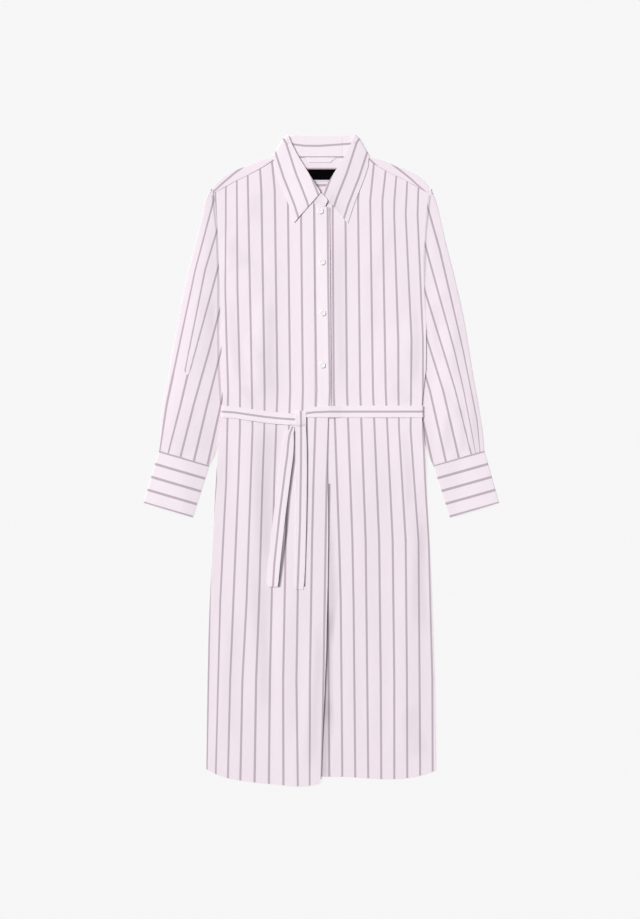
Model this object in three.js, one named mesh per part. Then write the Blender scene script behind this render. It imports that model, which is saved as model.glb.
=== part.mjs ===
// A midi shirt dress with long sleeves and a tie belt, laid flat on its back.
// Millimetres. X runs across the dress, Y from hem to collar and Z up from the surface it lies on.
// Right and left are the wearer's own, so the right side has negative X.
// Every cloth piece is one wall: a grid of points along the middle of the cloth, thickened both ways.

import * as THREE from "three";

// Cloth
const CLOTH = 1.0; // thickness of one layer
const GAP = 0.3; // clearance between neighbouring pieces
const LAYER = CLOTH + GAP; // height that each further layer adds
const SEAM = GAP; // gap between two edges that are sewn together

// Body
const CROWN = 1.4; // how far a front stands off the back away from its edges
const CROWN_RUN = 70; // distance from an edge over which it rises
const YOKE_SEAM_Y = 455; // height of the seam between back and yoke
const BACK_HEM_LIFT = 10; // how much shorter the back is than the fronts
const ARMPIT_Y = 241; // top of the side seam

// Front closing
const OVERLAP_RUN = 48; // width over which the right front climbs onto the left one
const OVERLAP_SPARE = 8; // how much sooner than the underlap it is at full height
const PLEAT_INNER_X = -38; // inner fold of the pleat below the belt
const PLACKET_END_Y = 92; // lower end of the button placket, under the belt

// Belt
const BELT_WIDTH = 22;
const BELT_BACK_Y = 90; // middle of the stretch that runs behind the back
const KNOT_TOP_Y = 101;
const KNOT_END_Y = 63;
const KNOT_MEET_X = -37.6; // where the two ends of the belt meet under the knot

// Buttons
const BUTTON_RADIUS = 5.5;
const BUTTON_SEGMENTS = 18;

// Half widths of the flat body, from shoulder to hem.
const BODY_SIDES = [
  { y: 500, right: 199.2, left: 198.7 },
  { y: 455, right: 193.7, left: 194.1 },
  { y: 422, right: 191.5, left: 192.2 },
  { y: 378, right: 189.8, left: 189.3 },
  { y: 333, right: 188.1, left: 189.6 },
  { y: 285, right: 187.0, left: 191.8 },
  { y: 237, right: 185.2, left: 193.9 },
  { y: 170, right: 183.3, left: 193.5 },
  { y: 130, right: 182.2, left: 188.9 },
  { y: 104, right: 181.7, left: 185.6 },
  { y: 78, right: 181.7, left: 185.6 },
  { y: 52, right: 186.7, left: 189.6 },
  { y: 26, right: 190.7, left: 191.8 },
  { y: -52, right: 195.9, left: 194.4 },
  { y: -148, right: 200.9, left: 200.0 },
  { y: -277, right: 207.0, left: 205.5 },
  { y: -425, right: 211.8, left: 210.3 },
  { y: -570, right: 212.6, left: 212.0 },
];

// How far each sleeve's inner edge lies inside the body's side edge, with the body on top of it.
const SLEEVE_TUCK = [
  { y: 290, reach: -80 },
  { y: 262, reach: -60 },
  { y: 241, reach: 0 },
  { y: 211, reach: 44 },
  { y: 174, reach: 65 },
  { y: 133, reach: 56 },
  { y: 96, reach: 33 },
  { y: 63, reach: 15 },
  { y: 30, reach: 0 },
  { y: 8, reach: -6 },
  { y: -10, reach: -14.4 },
  { y: -60, reach: -80 },
];
const TUCK_SPARE = 8;
const TUCK_RUN = 55;

// Sleeve sections from the head to the cuff: height and half width at the outer fold, height at the inner edge.
const SLEEVE_SECTIONS = [
  { outerY: 502, right: 202.4, left: 203.5, innerY: 500 },
  { outerY: 481, right: 214.4, left: 211.8, innerY: 481 },
  { outerY: 455, right: 219.4, left: 218.5, innerY: 455 },
  { outerY: 430, right: 225.6, left: 224.0, innerY: 430 },
  { outerY: 404, right: 232.2, left: 229.8, innerY: 405 },
  { outerY: 376, right: 239.0, left: 237.0, innerY: 378 },
  { outerY: 348, right: 246.6, left: 244.2, innerY: 350 },
  { outerY: 320, right: 252.8, left: 250.8, innerY: 322 },
  { outerY: 292, right: 258.6, left: 257.4, innerY: 296 },
  { outerY: 264, right: 263.2, left: 263.2, innerY: 265 },
  { outerY: 240, right: 267.8, left: 267.6, innerY: 242 },
  { outerY: 213, right: 273.0, left: 271.8, innerY: 211 },
  { outerY: 181, right: 278.6, left: 276.8, innerY: 174 },
  { outerY: 148, right: 283.8, left: 282.3, innerY: 133 },
  { outerY: 118, right: 289.8, left: 288.0, innerY: 96 },
  { outerY: 89, right: 294.8, left: 292.6, innerY: 63 },
  { outerY: 61, right: 297.2, left: 297.4, innerY: 30 },
  { outerY: 37, right: 298.6, left: 300.0, innerY: 8 },
  { outerY: 18, right: 300.3, left: 301.4, innerY: -9.4 },
];
const SLEEVE_CROWN = 2.8;
const BELT_ROOM = 8; // width of sleeve beside the body that stays low, where the belt turns round

// Wrist end of a cuff: its outer fold and its inner edge.
const WRIST = { outer: [328.6, -78.7], inner: [237.9, -105.8] };
const CUFF_CROWN = 1.6;

// Shoulder line: where the yoke folds over to the front, and its seam with the front.
const SHOULDER = [
  { x: 200, fold: 505, seam: 493.6 },
  { x: 187, fold: 521.5, seam: 499.9 },
  { x: 172, fold: 529.8, seam: 508.5 },
  { x: 155, fold: 538.2, seam: 517.8 },
  { x: 134, fold: 545.8, seam: 527.8 },
  { x: 112, fold: 555.0, seam: 539.1 },
  { x: 98, fold: 558.8, seam: 547.8 },
  { x: 84, fold: 559.8, seam: 556.4 },
];

// Neck seam of the back yoke, out to the shoulder.
const BACK_NECK = [
  { x: 72, y: 560.6 },
  { x: 48, y: 561.0 },
  { x: 24, y: 561.2 },
  { x: 0, y: 561.2 },
];

// Neck edge of a front, from the yoke to the closing.
const FRONT_NECK = [
  { x: 84, y: 556.1 },
  { x: 71, y: 542.0 },
  { x: 57.5, y: 523.2 },
  { x: 43.5, y: 503.2 },
  { x: 32.5, y: 489.0 },
  { x: 22, y: 478.4 },
  { x: 8, y: 472.4 },
  { x: -14, y: 470.0 },
];
const NECK_STATIONS = [84, 71, 57.5, 43.5, 32.5, 22];

// Curved hems of the two fronts, from the side seam to the middle.
const RIGHT_HEM = [
  { x: -213, y: -571 },
  { x: -196, y: -580.7 },
  { x: -173, y: -588.1 },
  { x: -148, y: -592.6 },
  { x: -121, y: -596.1 },
  { x: -69, y: -601.1 },
  { x: -43, y: -602.7 },
  { x: -19, y: -601.1 },
  { x: -6, y: -596.6 },
  { x: 0, y: -586.3 },
];
const LEFT_HEM = [
  { x: -40, y: -584 },
  { x: 2, y: -585.0 },
  { x: 41, y: -585.0 },
  { x: 87, y: -588.1 },
  { x: 122, y: -590.3 },
  { x: 159, y: -588.1 },
  { x: 182, y: -583.9 },
  { x: 205, y: -576.3 },
  { x: 213, y: -572.0 },
];

// Button placket: its seam to the right front and its folded edge.
const PLACKET = [
  { y: 472, seam: -14.1, edge: 15.5 },
  { y: 407, seam: -13.5, edge: 15.9 },
  { y: 241, seam: -11.7, edge: 17.4 },
  { y: 92, seam: -11.7, edge: 19.1 },
];

// Top edge of the placket, under the collar stand.
const PLACKET_TOP = [
  { x: -14, y: 474.4 },
  { x: 0, y: 469.9 },
  { x: 16, y: 467.0 },
];

// Folded edge of the pleat below the belt.
const PLEAT_EDGE = [
  { y: 92, x: 14.0 },
  { y: 72, x: 13.1 },
  { y: -9, x: 11.5 },
  { y: -96, x: 13.1 },
  { y: -185, x: 13.1 },
  { y: -296, x: 8.5 },
  { y: -425, x: 2.5 },
  { y: -587, x: -0.4 },
];

// Left edge of the left front, hidden under the right one.
const UNDERLAP = [
  { y: 472, x: -14 },
  { y: 104, x: -14 },
  { y: 90, x: PLEAT_INNER_X },
  { y: -600, x: PLEAT_INNER_X },
];

// Large soft folds of the fronts: long low ridges between two heights.
const FOLDS = [
  { x: -102, top: 410, bottom: 112, width: 68, height: 2.1 },
  { x: -156, top: 430, bottom: 140, width: 54, height: 1.3 },
  { x: -140, top: 66, bottom: -330, width: 68, height: 2.1 },
  { x: -70, top: -150, bottom: -560, width: 56, height: 1.2 },
  { x: 16, top: 440, bottom: 112, width: 64, height: 1.2 },
  { x: 84, top: 330, bottom: 115, width: 60, height: 1.4 },
  { x: 142, top: 390, bottom: 118, width: 60, height: 1.7 },
  { x: 76, top: 60, bottom: -400, width: 58, height: 1.5 },
  { x: 156, top: -40, bottom: -520, width: 66, height: 2.0 },
];

// Pleats that run up each sleeve from the cuff: a ridge between two points.
const SLEEVE_FOLDS = [
  { from: [273, 6], to: [214, 330], width: 36, height: 1.5 },
  { from: [241, -4], to: [206, 190], width: 38, height: 1.1 },
];


// Collar, right half. The fall's leaf runs from the fold line to its free edge,
// and turns under to the back of the neck along its shoulder end.
const LEAF_FOLD = [
  [-1.3, 495.1],
  [-6.3, 503.4],
  [-14.6, 516.3],
  [-22.6, 530.4],
  [-29.8, 540.9],
  [-42.7, 561.7],
  [-53.3, 582.9],
  [-64.0, 601.8],
];
const LEAF_EDGE = [
  [-49.0, 437.4],
  [-59.2, 469.2],
  [-68.8, 494.0],
  [-78.3, 517.4],
  [-90.6, 555.2],
  [-90.4, 562.6],
];
const LEAF_SHOULDER = [
  [-64.0, 601.8],
  [-72.9, 592.9],
  [-86.2, 568.1],
  [-90.4, 562.6],
];
const FALL_BACK = [
  { x: 45, top: 602.6, bottom: 545 },
  { x: 30, top: 601.4, bottom: 541 },
  { x: 14, top: 600.2, bottom: 539.5 },
  { x: 0, top: 600.0, bottom: 539 },
];
const STAND_BACK = [
  { x: 45, top: 600.8, bottom: 561.8 },
  { x: 24, top: 599.8, bottom: 561.8 },
  { x: 0, top: 599.2, bottom: 561.8 },
];
const STAND_RISE = 2.2; // how far the stand's folded edge lifts off its seam

// Stand of one side, from the closing to the shoulder: points on its fold and on its neck seam.
const STAND_SIDE = [
  { fold: [-0.7, 493.6], seam: [-21.8, 478.9] },
  { fold: [-7.6, 504.0], seam: [-32.1, 489.4] },
  { fold: [-17.0, 518.8], seam: [-43.1, 503.6] },
  { fold: [-30.0, 540.2], seam: [-57.1, 523.6] },
  { fold: [-42.2, 560.4], seam: [-70.6, 542.5] },
  { fold: [-52.6, 580.8], seam: [-81.2, 557.6] },
];
const STAND_SHOULDER = { fold: [-60.8, 598.6], seam: [-81.5, 562.2] };
const STAND_OVERLAP_END = [
  { fold: [12.0, 480.3], seam: [7.6, 470.4] },
  { fold: [8.2, 486.0], seam: [-1.5, 471.2] },
  { fold: [3.8, 490.4], seam: [-14.2, 475.7] },
];
const STAND_UNDERLAP_END = [
  { fold: [13.0, 480.6], seam: [12.6, 475.0] },
  { fold: [9.0, 486.4], seam: [0.0, 472.6] },
  { fold: [3.8, 490.4], seam: [-14.3, 475.7] },
];

// Front stretches of the belt: middle line and width.
const BELT_RIGHT = [
  { x: -46, y: 75.3, width: 20 },
  { x: -62, y: 76.2, width: 21.6 },
  { x: -80, y: 77.6, width: BELT_WIDTH },
  { x: -109, y: 80.8, width: BELT_WIDTH },
  { x: -135, y: 84.6, width: BELT_WIDTH },
  { x: -160, y: 88.2, width: BELT_WIDTH },
];
const BELT_LEFT = [
  { x: 160, y: 89.9, width: BELT_WIDTH },
  { x: 130, y: 89.9, width: BELT_WIDTH },
  { x: 100, y: 89.9, width: BELT_WIDTH },
  { x: 70, y: 89.9, width: BELT_WIDTH },
  { x: 40, y: 89.8, width: BELT_WIDTH },
  { x: 16, y: 89.8, width: 21.6 },
  { x: -2, y: 89.7, width: 21.0 },
  { x: -14, y: 88.6, width: 18.8 },
  { x: -27, y: 86.8, width: 14.4 },
];

// Hanging ends of the belt: the front one falls straight, the under one slants away from the knot.
const FRONT_TAIL = [
  { y: 62.6, from: -47.4, to: -27.0 },
  { y: 30, from: -47.5, to: -25.2 },
  { y: -18, from: -47.6, to: -23.6 },
  { y: -64, from: -47.7, to: -24.0 },
  { y: -111, from: -47.9, to: -24.6 },
  { y: -150, from: -48.0, to: -26.2 },
  { y: -190, from: -48.3, to: -28.0 },
  { y: -226, from: -49.0, to: -30.2 },
  { y: -239, from: -46.4, to: -32.4 },
];
const UNDER_TAIL = [
  { y: 62.6, from: -56.0, to: -49.2 },
  { y: 48, from: -66.0, to: -51.0 },
  { y: 33, from: -71.2, to: -50.4 },
  { y: 8, from: -74.2, to: -51.8 },
  { y: -18, from: -78.0, to: -55.3 },
  { y: -60, from: -83.2, to: -60.8 },
  { y: -100, from: -88.2, to: -66.0 },
  { y: -145, from: -93.2, to: -71.0 },
  { y: -190, from: -97.6, to: -75.8 },
  { y: -224, from: -100.2, to: -79.0 },
  { y: -234, from: -98.2, to: -80.6 },
];

const BUTTONS = [
  { x: -1.9, y: 460.8 },
  { x: 1.7, y: 366.5 },
  { x: 2.8, y: 272.1 },
  { x: 2.0, y: 175.9 },
];

// Heights shared by the fronts and the back, so that their folds lie in one another.
const BODY_ROWS = [
  430, 405, 378, 350, 322, 296, 274, 256, 240, 224, 206, 188, 168, 148, 132, 119, 107, 90, 73,
  60, 46, 28, 6, -24, -62, -106, -158, -216, -280, -346, -412, -474, -530,
];
const EDGE_STEPS = [0, 6, 20, 40, 62, 86, 103]; // distances of the outer columns from the side edge
const INNERMOST_STEP = EDGE_STEPS[EDGE_STEPS.length - 1];
const BACK_MIDDLE = [-62, -20, 20, 62]; // further columns of the back

const COLOURS = {
  cloth: 0xf4e8f1,
  trim: 0xf8eef5,
  button: 0xfbf8fb,
  label: 0x111113,
};

// Shared arithmetic
const clamp01 = (t) => Math.min(1, Math.max(0, t));
const ease = (t) => clamp01(t) ** 2 * (3 - 2 * clamp01(t));
const mix = (a, b, t) => a + (b - a) * t;
const mixPoint = (a, b, t) => [mix(a[0], b[0], t), mix(a[1], b[1], t)];

// Reads a column of a table between its rows. The rows may run up or down.
function read(table, key, at, column) {
  const falling = table[0][key] > table[table.length - 1][key];
  const rows = falling ? [...table].reverse() : table;
  const next = rows.findIndex((row) => row[key] >= at);
  if (next === -1) return rows[rows.length - 1][column];
  if (next === 0) return rows[0][column];
  const [low, high] = [rows[next - 1], rows[next]];
  return mix(low[column], high[column], (at - low[key]) / (high[key] - low[key]));
}

// A point on a line of points, at a share of its length.
function along(line, share) {
  const lengths = [0];
  for (let i = 1; i < line.length; i += 1) {
    const step = Math.hypot(line[i][0] - line[i - 1][0], line[i][1] - line[i - 1][1]);
    lengths.push(lengths[i - 1] + step);
  }
  const target = share * lengths[lengths.length - 1];
  const i = Math.max(1, lengths.findIndex((length) => length >= target - 1e-9));
  return mixPoint(line[i - 1], line[i], (target - lengths[i - 1]) / (lengths[i] - lengths[i - 1]));
}

// A piece of cloth: points along its middle, each with the way its outer side faces, and the cells between them.
class Cloth {
  constructor(thickness = CLOTH) {
    this.half = thickness / 2;
    this.points = [];
    this.cells = [];
  }

  add(point) {
    this.points.push(point);
    return this.points.length - 1;
  }

  // Joins rows of point numbers into cells, whose outer side is seen anticlockwise.
  weave(rows, turned = false) {
    for (let i = 1; i < rows.length; i += 1) {
      for (let j = 1; j < rows[i].length; j += 1) {
        const cell = [rows[i][j - 1], rows[i][j], rows[i - 1][j], rows[i - 1][j - 1]];
        this.cells.push(turned ? cell.reverse() : cell);
      }
    }
    return this;
  }

  grid(rows, turned = false) {
    return this.weave(rows.map((row) => row.map((point) => this.add(point))), turned);
  }

  triangles() {
    const outer = (i) => i;
    const inner = (i) => i + this.points.length;
    const sides = new Map();
    const faces = [];
    for (const [a, b, c, d] of this.cells) {
      faces.push([outer(a), outer(b), outer(c)], [outer(a), outer(c), outer(d)]);
      faces.push([inner(a), inner(c), inner(b)], [inner(a), inner(d), inner(c)]);
      for (const [from, to] of [[a, b], [b, c], [c, d], [d, a]]) {
        if (!sides.delete(`${to}/${from}`)) sides.set(`${from}/${to}`, [from, to]);
      }
    }
    for (const [from, to] of sides.values()) {
      faces.push([outer(to), outer(from), inner(from)], [outer(to), inner(from), inner(to)]);
    }
    return faces;
  }

  mesh(name, colour) {
    const offset = (side) => this.points.flatMap(({ at, facing }) =>
      at.map((value, axis) => value + side * this.half * facing[axis]));
    const geometry = new THREE.BufferGeometry();
    const positions = [...offset(1), ...offset(-1)];
    geometry.setAttribute("position", new THREE.Float32BufferAttribute(positions, 3));
    geometry.setIndex(this.triangles().flat());
    return named(name, geometry, colour);
  }
}

function named(name, geometry, colour) {
  const material = new THREE.MeshStandardMaterial({ color: colour, roughness: 0.85, metalness: 0 });
  const mesh = new THREE.Mesh(geometry, material);
  mesh.name = name;
  mesh.updateMatrixWorld(true);
  return mesh;
}

// A point of cloth that lies level: its lower side is at the given height.
function flat(x, y, lower, facing = 1) {
  return { at: [x, y, lower + CLOTH / 2], facing: [0, 0, facing] };
}

// Points around a fold from its upper layer to its lower one. The cloth folds about a level line
// through the pivot, and bulges out of it in the given direction.
function foldPoints(pivot, out, upper, lower, steps) {
  const radius = (upper - lower) / 2;
  const middle = (upper + lower) / 2;
  const length = Math.hypot(...out);
  const points = [];
  for (let i = 1; i < steps; i += 1) {
    const turn = Math.PI / 2 - (Math.PI * i) / steps;
    const [reach, rise] = [Math.cos(turn), Math.sin(turn)];
    const facing = [(out[0] / length) * reach, (out[1] / length) * reach, rise];
    const at = [pivot[0] + facing[0] * radius, pivot[1] + facing[1] * radius, middle + rise * radius];
    points.push({ at, facing });
  }
  return points;
}

// Highest point of finished pieces near a place, found by looking straight down.
const probe = new THREE.Raycaster();
const DOWN = new THREE.Vector3(0, 0, -1);
const PROBE_HEIGHT = 100;

function topAt(pieces, x, y) {
  probe.set(new THREE.Vector3(x, y, PROBE_HEIGHT), DOWN);
  const hit = probe.intersectObjects(pieces, false)[0];
  return hit ? hit.point.z : 0;
}

// Height at which cloth rests on finished pieces, clear of everything within reach of the place.
function restOn(pieces, x, y, reach) {
  let top = topAt(pieces, x, y);
  for (let i = 0; i < 12; i += 1) {
    const turn = (Math.PI * i) / 6;
    for (const part of [0.5, 1]) {
      const near = topAt(pieces, x + part * reach * Math.cos(turn), y + part * reach * Math.sin(turn));
      top = Math.max(top, near);
    }
  }
  return top + GAP;
}

// Body heights
const sideAt = (y, side) => read(BODY_SIDES, "y", y, side);
const sideOf = (x) => (x < 0 ? "right" : "left");
const signOf = (side) => (side === "right" ? -1 : 1);

function sleeveLift(x, y) {
  const inside = sideAt(y, sideOf(x)) - Math.abs(x);
  const reach = read(SLEEVE_TUCK, "y", y, "reach") + TUCK_SPARE;
  return 2 * LAYER * ease((reach + TUCK_RUN - inside) / TUCK_RUN);
}

function beltPress(y) {
  return ease((BELT_WIDTH / 2 + 32 - Math.abs(y - BELT_BACK_Y)) / 26);
}

function collarLift(x, y) {
  return LAYER * ease((y - 500) / 34) * ease((140 - Math.abs(x)) / 44);
}

function backLower(x, y) {
  return sleeveLift(x, y) + LAYER * beltPress(y) + collarLift(x, y);
}

function foldHeight(x, y) {
  let height = 0;
  for (const fold of FOLDS) {
    const across = Math.abs(x - fold.x) / (fold.width / 2);
    const lengthwise = ease((fold.top - y) / 60) * ease((y - fold.bottom) / 90);
    if (across < 1) height += fold.height * Math.cos((across * Math.PI) / 2) ** 2 * lengthwise;
  }
  return height;
}

function frontCrown(x, y) {
  const fromSide = ease((sideAt(y, sideOf(x)) - Math.abs(x)) / CROWN_RUN);
  const fromShoulder = ease((read(SHOULDER, "x", Math.abs(x), "fold") - y) / CROWN_RUN);
  const fromHem = mix(0.3, 1, ease((y + 600) / 110));
  return CROWN * fromSide * fromShoulder * fromHem * (1 - 0.75 * beltPress(y));
}

function leftFrontLower(x, y) {
  return backLower(x, y) + LAYER + frontCrown(x, y) + foldHeight(x, y);
}

function rightFrontLower(x, y) {
  const underlap = read(UNDERLAP, "y", y, "x") - OVERLAP_SPARE;
  const lift = 2 * LAYER * ease((x - underlap + OVERLAP_RUN) / OVERLAP_RUN);
  return leftFrontLower(x, y) + lift;
}

// Rows of a body panel's column: from its own top edge, down the shared heights, to its own hem.
function columnRows(top, hem, topRows) {
  const first = BODY_ROWS[0];
  const rows = [];
  for (let i = 0; i < topRows; i += 1) rows.push(mix(top, first, i / topRows));
  rows.push(...BODY_ROWS);
  rows.push(mix(BODY_ROWS[BODY_ROWS.length - 1], hem, 0.55), hem);
  return rows;
}

// Builds the grid of a body panel, whose columns run down the cloth, in order of X.
function panelGrid(columns, topAtX, hemAtX, topRows, lower) {
  const lines = columns.map((columnX) => {
    const top = topAtX(columnX(topAtX(columnX(500))));
    const hem = hemAtX(columnX(-585));
    return columnRows(top, hem, topRows).map((y) => flat(columnX(y), y, lower(columnX(y), y)));
  });
  return lines[0].map((_, row) => lines.map((line) => line[row]));
}

const seamX = (y) => read(PLACKET, "y", y, "seam");

// Upper edge of a front: the yoke seam on the shoulder, then the neck.
function frontTopAt(x) {
  if (x > FRONT_NECK[0].x) return read(SHOULDER, "x", x, "seam") - SEAM;
  return read(FRONT_NECK, "x", x, "y");
}

// Columns of a front or of the back, counted inwards from one side edge.
const edgeColumns = (side) => EDGE_STEPS.map((step) => (y) => signOf(side) * (sideAt(y, side) - step));

// Columns of a front between those and its closing edge. At the top each starts from its own neck station.
function innerColumns(side, closingX) {
  const innermost = (y) => sideAt(y, side) - INNERMOST_STEP;
  return NECK_STATIONS.map((station) => (y) => {
    const sign = signOf(side);
    const share = (innermost(500) - station) / (innermost(500) - sign * closingX(500));
    return mix(sign * innermost(y), closingX(y), share);
  });
}

function back() {
  const middle = BACK_MIDDLE.map((x) => () => x);
  const hem = (x) => Math.max(read(RIGHT_HEM, "x", x, "y"), -594) + BACK_HEM_LIFT;
  const hemAtX = (x) => (x < 0 ? hem(x) : hem(-x));
  const columns = [...edgeColumns("right"), ...middle, ...edgeColumns("left").reverse()];
  const rows = panelGrid(columns, () => YOKE_SEAM_Y - SEAM, hemAtX, 1, backLower);
  return new Cloth().grid(rows).mesh("back", COLOURS.cloth);
}

function rightFront() {
  const closing = (y) => seamX(y) - SEAM;
  const topAtX = (x) => frontTopAt(-x);
  const hemAtX = (x) => read(RIGHT_HEM, "x", x, "y");
  const columns = [...edgeColumns("right"), ...innerColumns("right", closing), closing];
  const rows = panelGrid(columns, topAtX, hemAtX, 4, rightFrontLower);
  const cloth = new Cloth();
  const numbers = rows.map((row) => row.map((point) => cloth.add(point)));
  cloth.weave(numbers);
  // Below the placket the front runs on to the pleat's edge, and folds under as far as its inner fold.
  const pleat = [];
  rows.forEach((row, i) => {
    const [seam, y] = row[row.length - 1].at;
    if (y > PLACKET_END_Y) return;
    const edgeX = read(PLEAT_EDGE, "y", y, "x");
    const pivot = edgeX - LAYER / 2 - CLOTH / 2;
    const last = i === rows.length - 1;
    const hem = (x) => (last ? read(RIGHT_HEM, "x", x, "y") : y);
    const upper = (x) => rightFrontLower(x, y);
    const under = (x) => rightFrontLower(x, y) - LAYER;
    const points = [mix(seam, pivot, 0.5), pivot].map((x) => flat(x, hem(x), upper(x)));
    const [high, low] = [upper(pivot) + CLOTH / 2, under(pivot) + CLOTH / 2];
    points.push(...foldPoints([pivot, hem(pivot)], [1, 0], high, low, 4));
    points.push(...[pivot, mix(pivot, PLEAT_INNER_X, 0.5), PLEAT_INNER_X].map((x) =>
      flat(x, hem(pivot), under(x), -1)));
    pleat.push([numbers[i][row.length - 1], ...points.map((point) => cloth.add(point))]);
  });
  cloth.weave(pleat);
  return cloth.mesh("right_front", COLOURS.cloth);
}

function leftFront() {
  const closing = (y) => read(UNDERLAP, "y", y, "x");
  const middle = (y) => mix(closing(y), sideAt(y, "left") - INNERMOST_STEP, 0.2);
  const inner = innerColumns("left", closing).reverse();
  const hemAtX = (x) => read(LEFT_HEM, "x", x, "y");
  const columns = [closing, middle, ...inner, ...edgeColumns("left").reverse()];
  const rows = panelGrid(columns, frontTopAt, hemAtX, 4, leftFrontLower);
  return new Cloth().grid(rows).mesh("left_front", COLOURS.cloth);
}

// Yoke: one piece from the back seam, up over each shoulder and down to the front seams.
function yoke() {
  const cloth = new Cloth();
  const shoulder = (side) => {
    const steps = EDGE_STEPS.map((step) => sideAt(500, side) - step);
    return [...steps, NECK_STATIONS[0]].map((x) => ({
      x: signOf(side) * x,
      top: read(SHOULDER, "x", x, "fold"),
      isShoulder: true,
    }));
  };
  const neck = (sign) => BACK_NECK.map(({ x, y }) => ({ x: sign * x, top: y }));
  const columns = [
    ...shoulder("right"),
    ...neck(-1),
    ...neck(1).reverse().slice(1),
    ...shoulder("left").reverse(),
  ];
  const foldInset = LAYER / 2 + CLOTH / 2;
  const strips = { right: [], left: [] };
  const backRows = [[], [], [], [], []];
  for (const { x, top, isShoulder } of columns) {
    const upperEnd = isShoulder ? top - foldInset : top;
    const bottomX = (x * sideAt(YOKE_SEAM_Y, sideOf(x))) / sideAt(500, sideOf(x));
    const shares = [0, 0.3, 0.6, 0.85, 1];
    shares.forEach((share, i) => {
      const [px, py] = [mix(bottomX, x, share), mix(YOKE_SEAM_Y, upperEnd, share)];
      backRows[i].push(cloth.add(flat(px, py, backLower(px, py), -1)));
    });
    if (!isShoulder) continue;
    const level = (y) => backLower(x, y) + LAYER + frontCrown(x, y);
    const high = level(upperEnd) + CLOTH / 2;
    const low = backLower(x, upperEnd) + CLOTH / 2;
    const turn = foldPoints([x, upperEnd], [0, 1], high, low, 4).reverse();
    const narrowed = (y) => (x * sideAt(y, sideOf(x))) / sideAt(500, sideOf(x));
    const seam = read(SHOULDER, "x", Math.abs(narrowed(495)), "seam");
    const front = [upperEnd, mix(upperEnd, seam, 0.5), seam].map((y) => flat(narrowed(y), y, level(y)));
    const start = backRows[backRows.length - 1][backRows[0].length - 1];
    strips[sideOf(x)].push([start, ...[...turn, ...front].map((point) => cloth.add(point))]);
  }
  cloth.weave(backRows);
  for (const strip of Object.values(strips)) {
    const rows = strip[0].map((_, row) => strip.map((column) => column[row]));
    cloth.weave(rows);
  }
  return cloth.mesh("yoke", COLOURS.cloth);
}

// Sleeve or cuff section: front layer from the inner edge to the outer fold, round it, and back underneath.
function tubeSection(outer, inner, hidden, crownAt) {
  const length = Math.hypot(outer[0] - inner[0], outer[1] - inner[1]);
  const out = [(outer[0] - inner[0]) / length, (outer[1] - inner[1]) / length];
  const inset = Math.min(LAYER / 2 + CLOTH / 2, length / 3);
  const pivot = [outer[0] - out[0] * inset, outer[1] - out[1] * inset];
  const edge = 1 - Math.max(0.04, hidden / length);
  const open = [1, 0.84, 0.67, 0.5, 0.33, 0.17, 0.06, 0].map((share) => share * edge);
  const front = [1, (1 + edge) / 2, ...open].map((share) => {
    const [x, y] = mixPoint(pivot, inner, share);
    return flat(x, y, LAYER + crownAt(x, y, share * length));
  });
  const turn = foldPoints(pivot, out, LAYER + CLOTH / 2, CLOTH / 2, 4);
  const under = [0, 0.25, 0.5, 0.75, 1].map((share) => {
    const [x, y] = mixPoint(pivot, inner, share);
    return flat(x, y, 0, -1);
  });
  return [...front, ...turn, ...under];
}

// Where a section of a sleeve has its outer fold and its inner edge.
function sleeveEnds(row, side) {
  const reach = read(SLEEVE_TUCK, "y", row.innerY, "reach");
  const inside = row.innerY > ARMPIT_Y ? -SEAM : reach;
  return { outer: [row[side], row.outerY], inner: [sideAt(row.innerY, side) - inside, row.innerY] };
}

function sleeveFoldHeight(x, y) {
  let height = 0;
  for (const { from, to, width, height: rise } of SLEEVE_FOLDS) {
    const [dx, dy] = [to[0] - from[0], to[1] - from[1]];
    const length = Math.hypot(dx, dy);
    const lengthwise = ((Math.abs(x) - from[0]) * dx + (y - from[1]) * dy) / length ** 2;
    const across = ((Math.abs(x) - from[0]) * dy - (y - from[1]) * dx) / length / (width / 2);
    const fade = ease((1 - lengthwise) / 0.6) * ease((lengthwise + 0.4) / 0.4);
    if (Math.abs(across) < 1) height += rise * Math.cos((across * Math.PI) / 2) ** 2 * fade;
  }
  return height;
}

function sleeve(side) {
  const sign = signOf(side);
  const crownAt = (x, y, fromFold) => {
    const fromBody = ease((Math.abs(x) - sideAt(y, side) - BELT_ROOM) / 34);
    const fromEnds = fromBody * ease(fromFold / 26) * ease((500 - y) / 60);
    return (SLEEVE_CROWN * mix(0.55, 1, ease(y / 90)) + sleeveFoldHeight(x, y)) * fromEnds;
  };
  const sections = SLEEVE_SECTIONS.map((row) => {
    const { outer, inner } = sleeveEnds(row, side);
    const hidden = sideAt(row.innerY, side) + BELT_ROOM - inner[0];
    return tubeSection([sign * outer[0], outer[1]], [sign * inner[0], inner[1]], hidden, crownAt);
  });
  return new Cloth().grid(sections, side === "right").mesh(`${side}_sleeve`, COLOURS.cloth);
}

function cuff(side) {
  const sign = signOf(side);
  const place = ([x, y]) => [sign * x, y];
  const top = sleeveEnds(SLEEVE_SECTIONS[SLEEVE_SECTIONS.length - 1], side);
  const start = (SEAM + 0.1) / Math.hypot(WRIST.outer[0] - top.outer[0], WRIST.outer[1] - top.outer[1]);
  const sections = [start, 0.33, 0.67, 1].map((share) => {
    const outer = place(mixPoint(top.outer, WRIST.outer, share));
    const inner = place(mixPoint(top.inner, WRIST.inner, share));
    const width = Math.hypot(outer[0] - inner[0], outer[1] - inner[1]);
    const crownAt = (x, y, fromFold) => CUFF_CROWN * ease(fromFold / 24) * ease((width - fromFold) / 24);
    return tubeSection(outer, inner, 0, crownAt);
  });
  return new Cloth().grid(sections, side === "right").mesh(`${side}_cuff`, COLOURS.trim);
}

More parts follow.
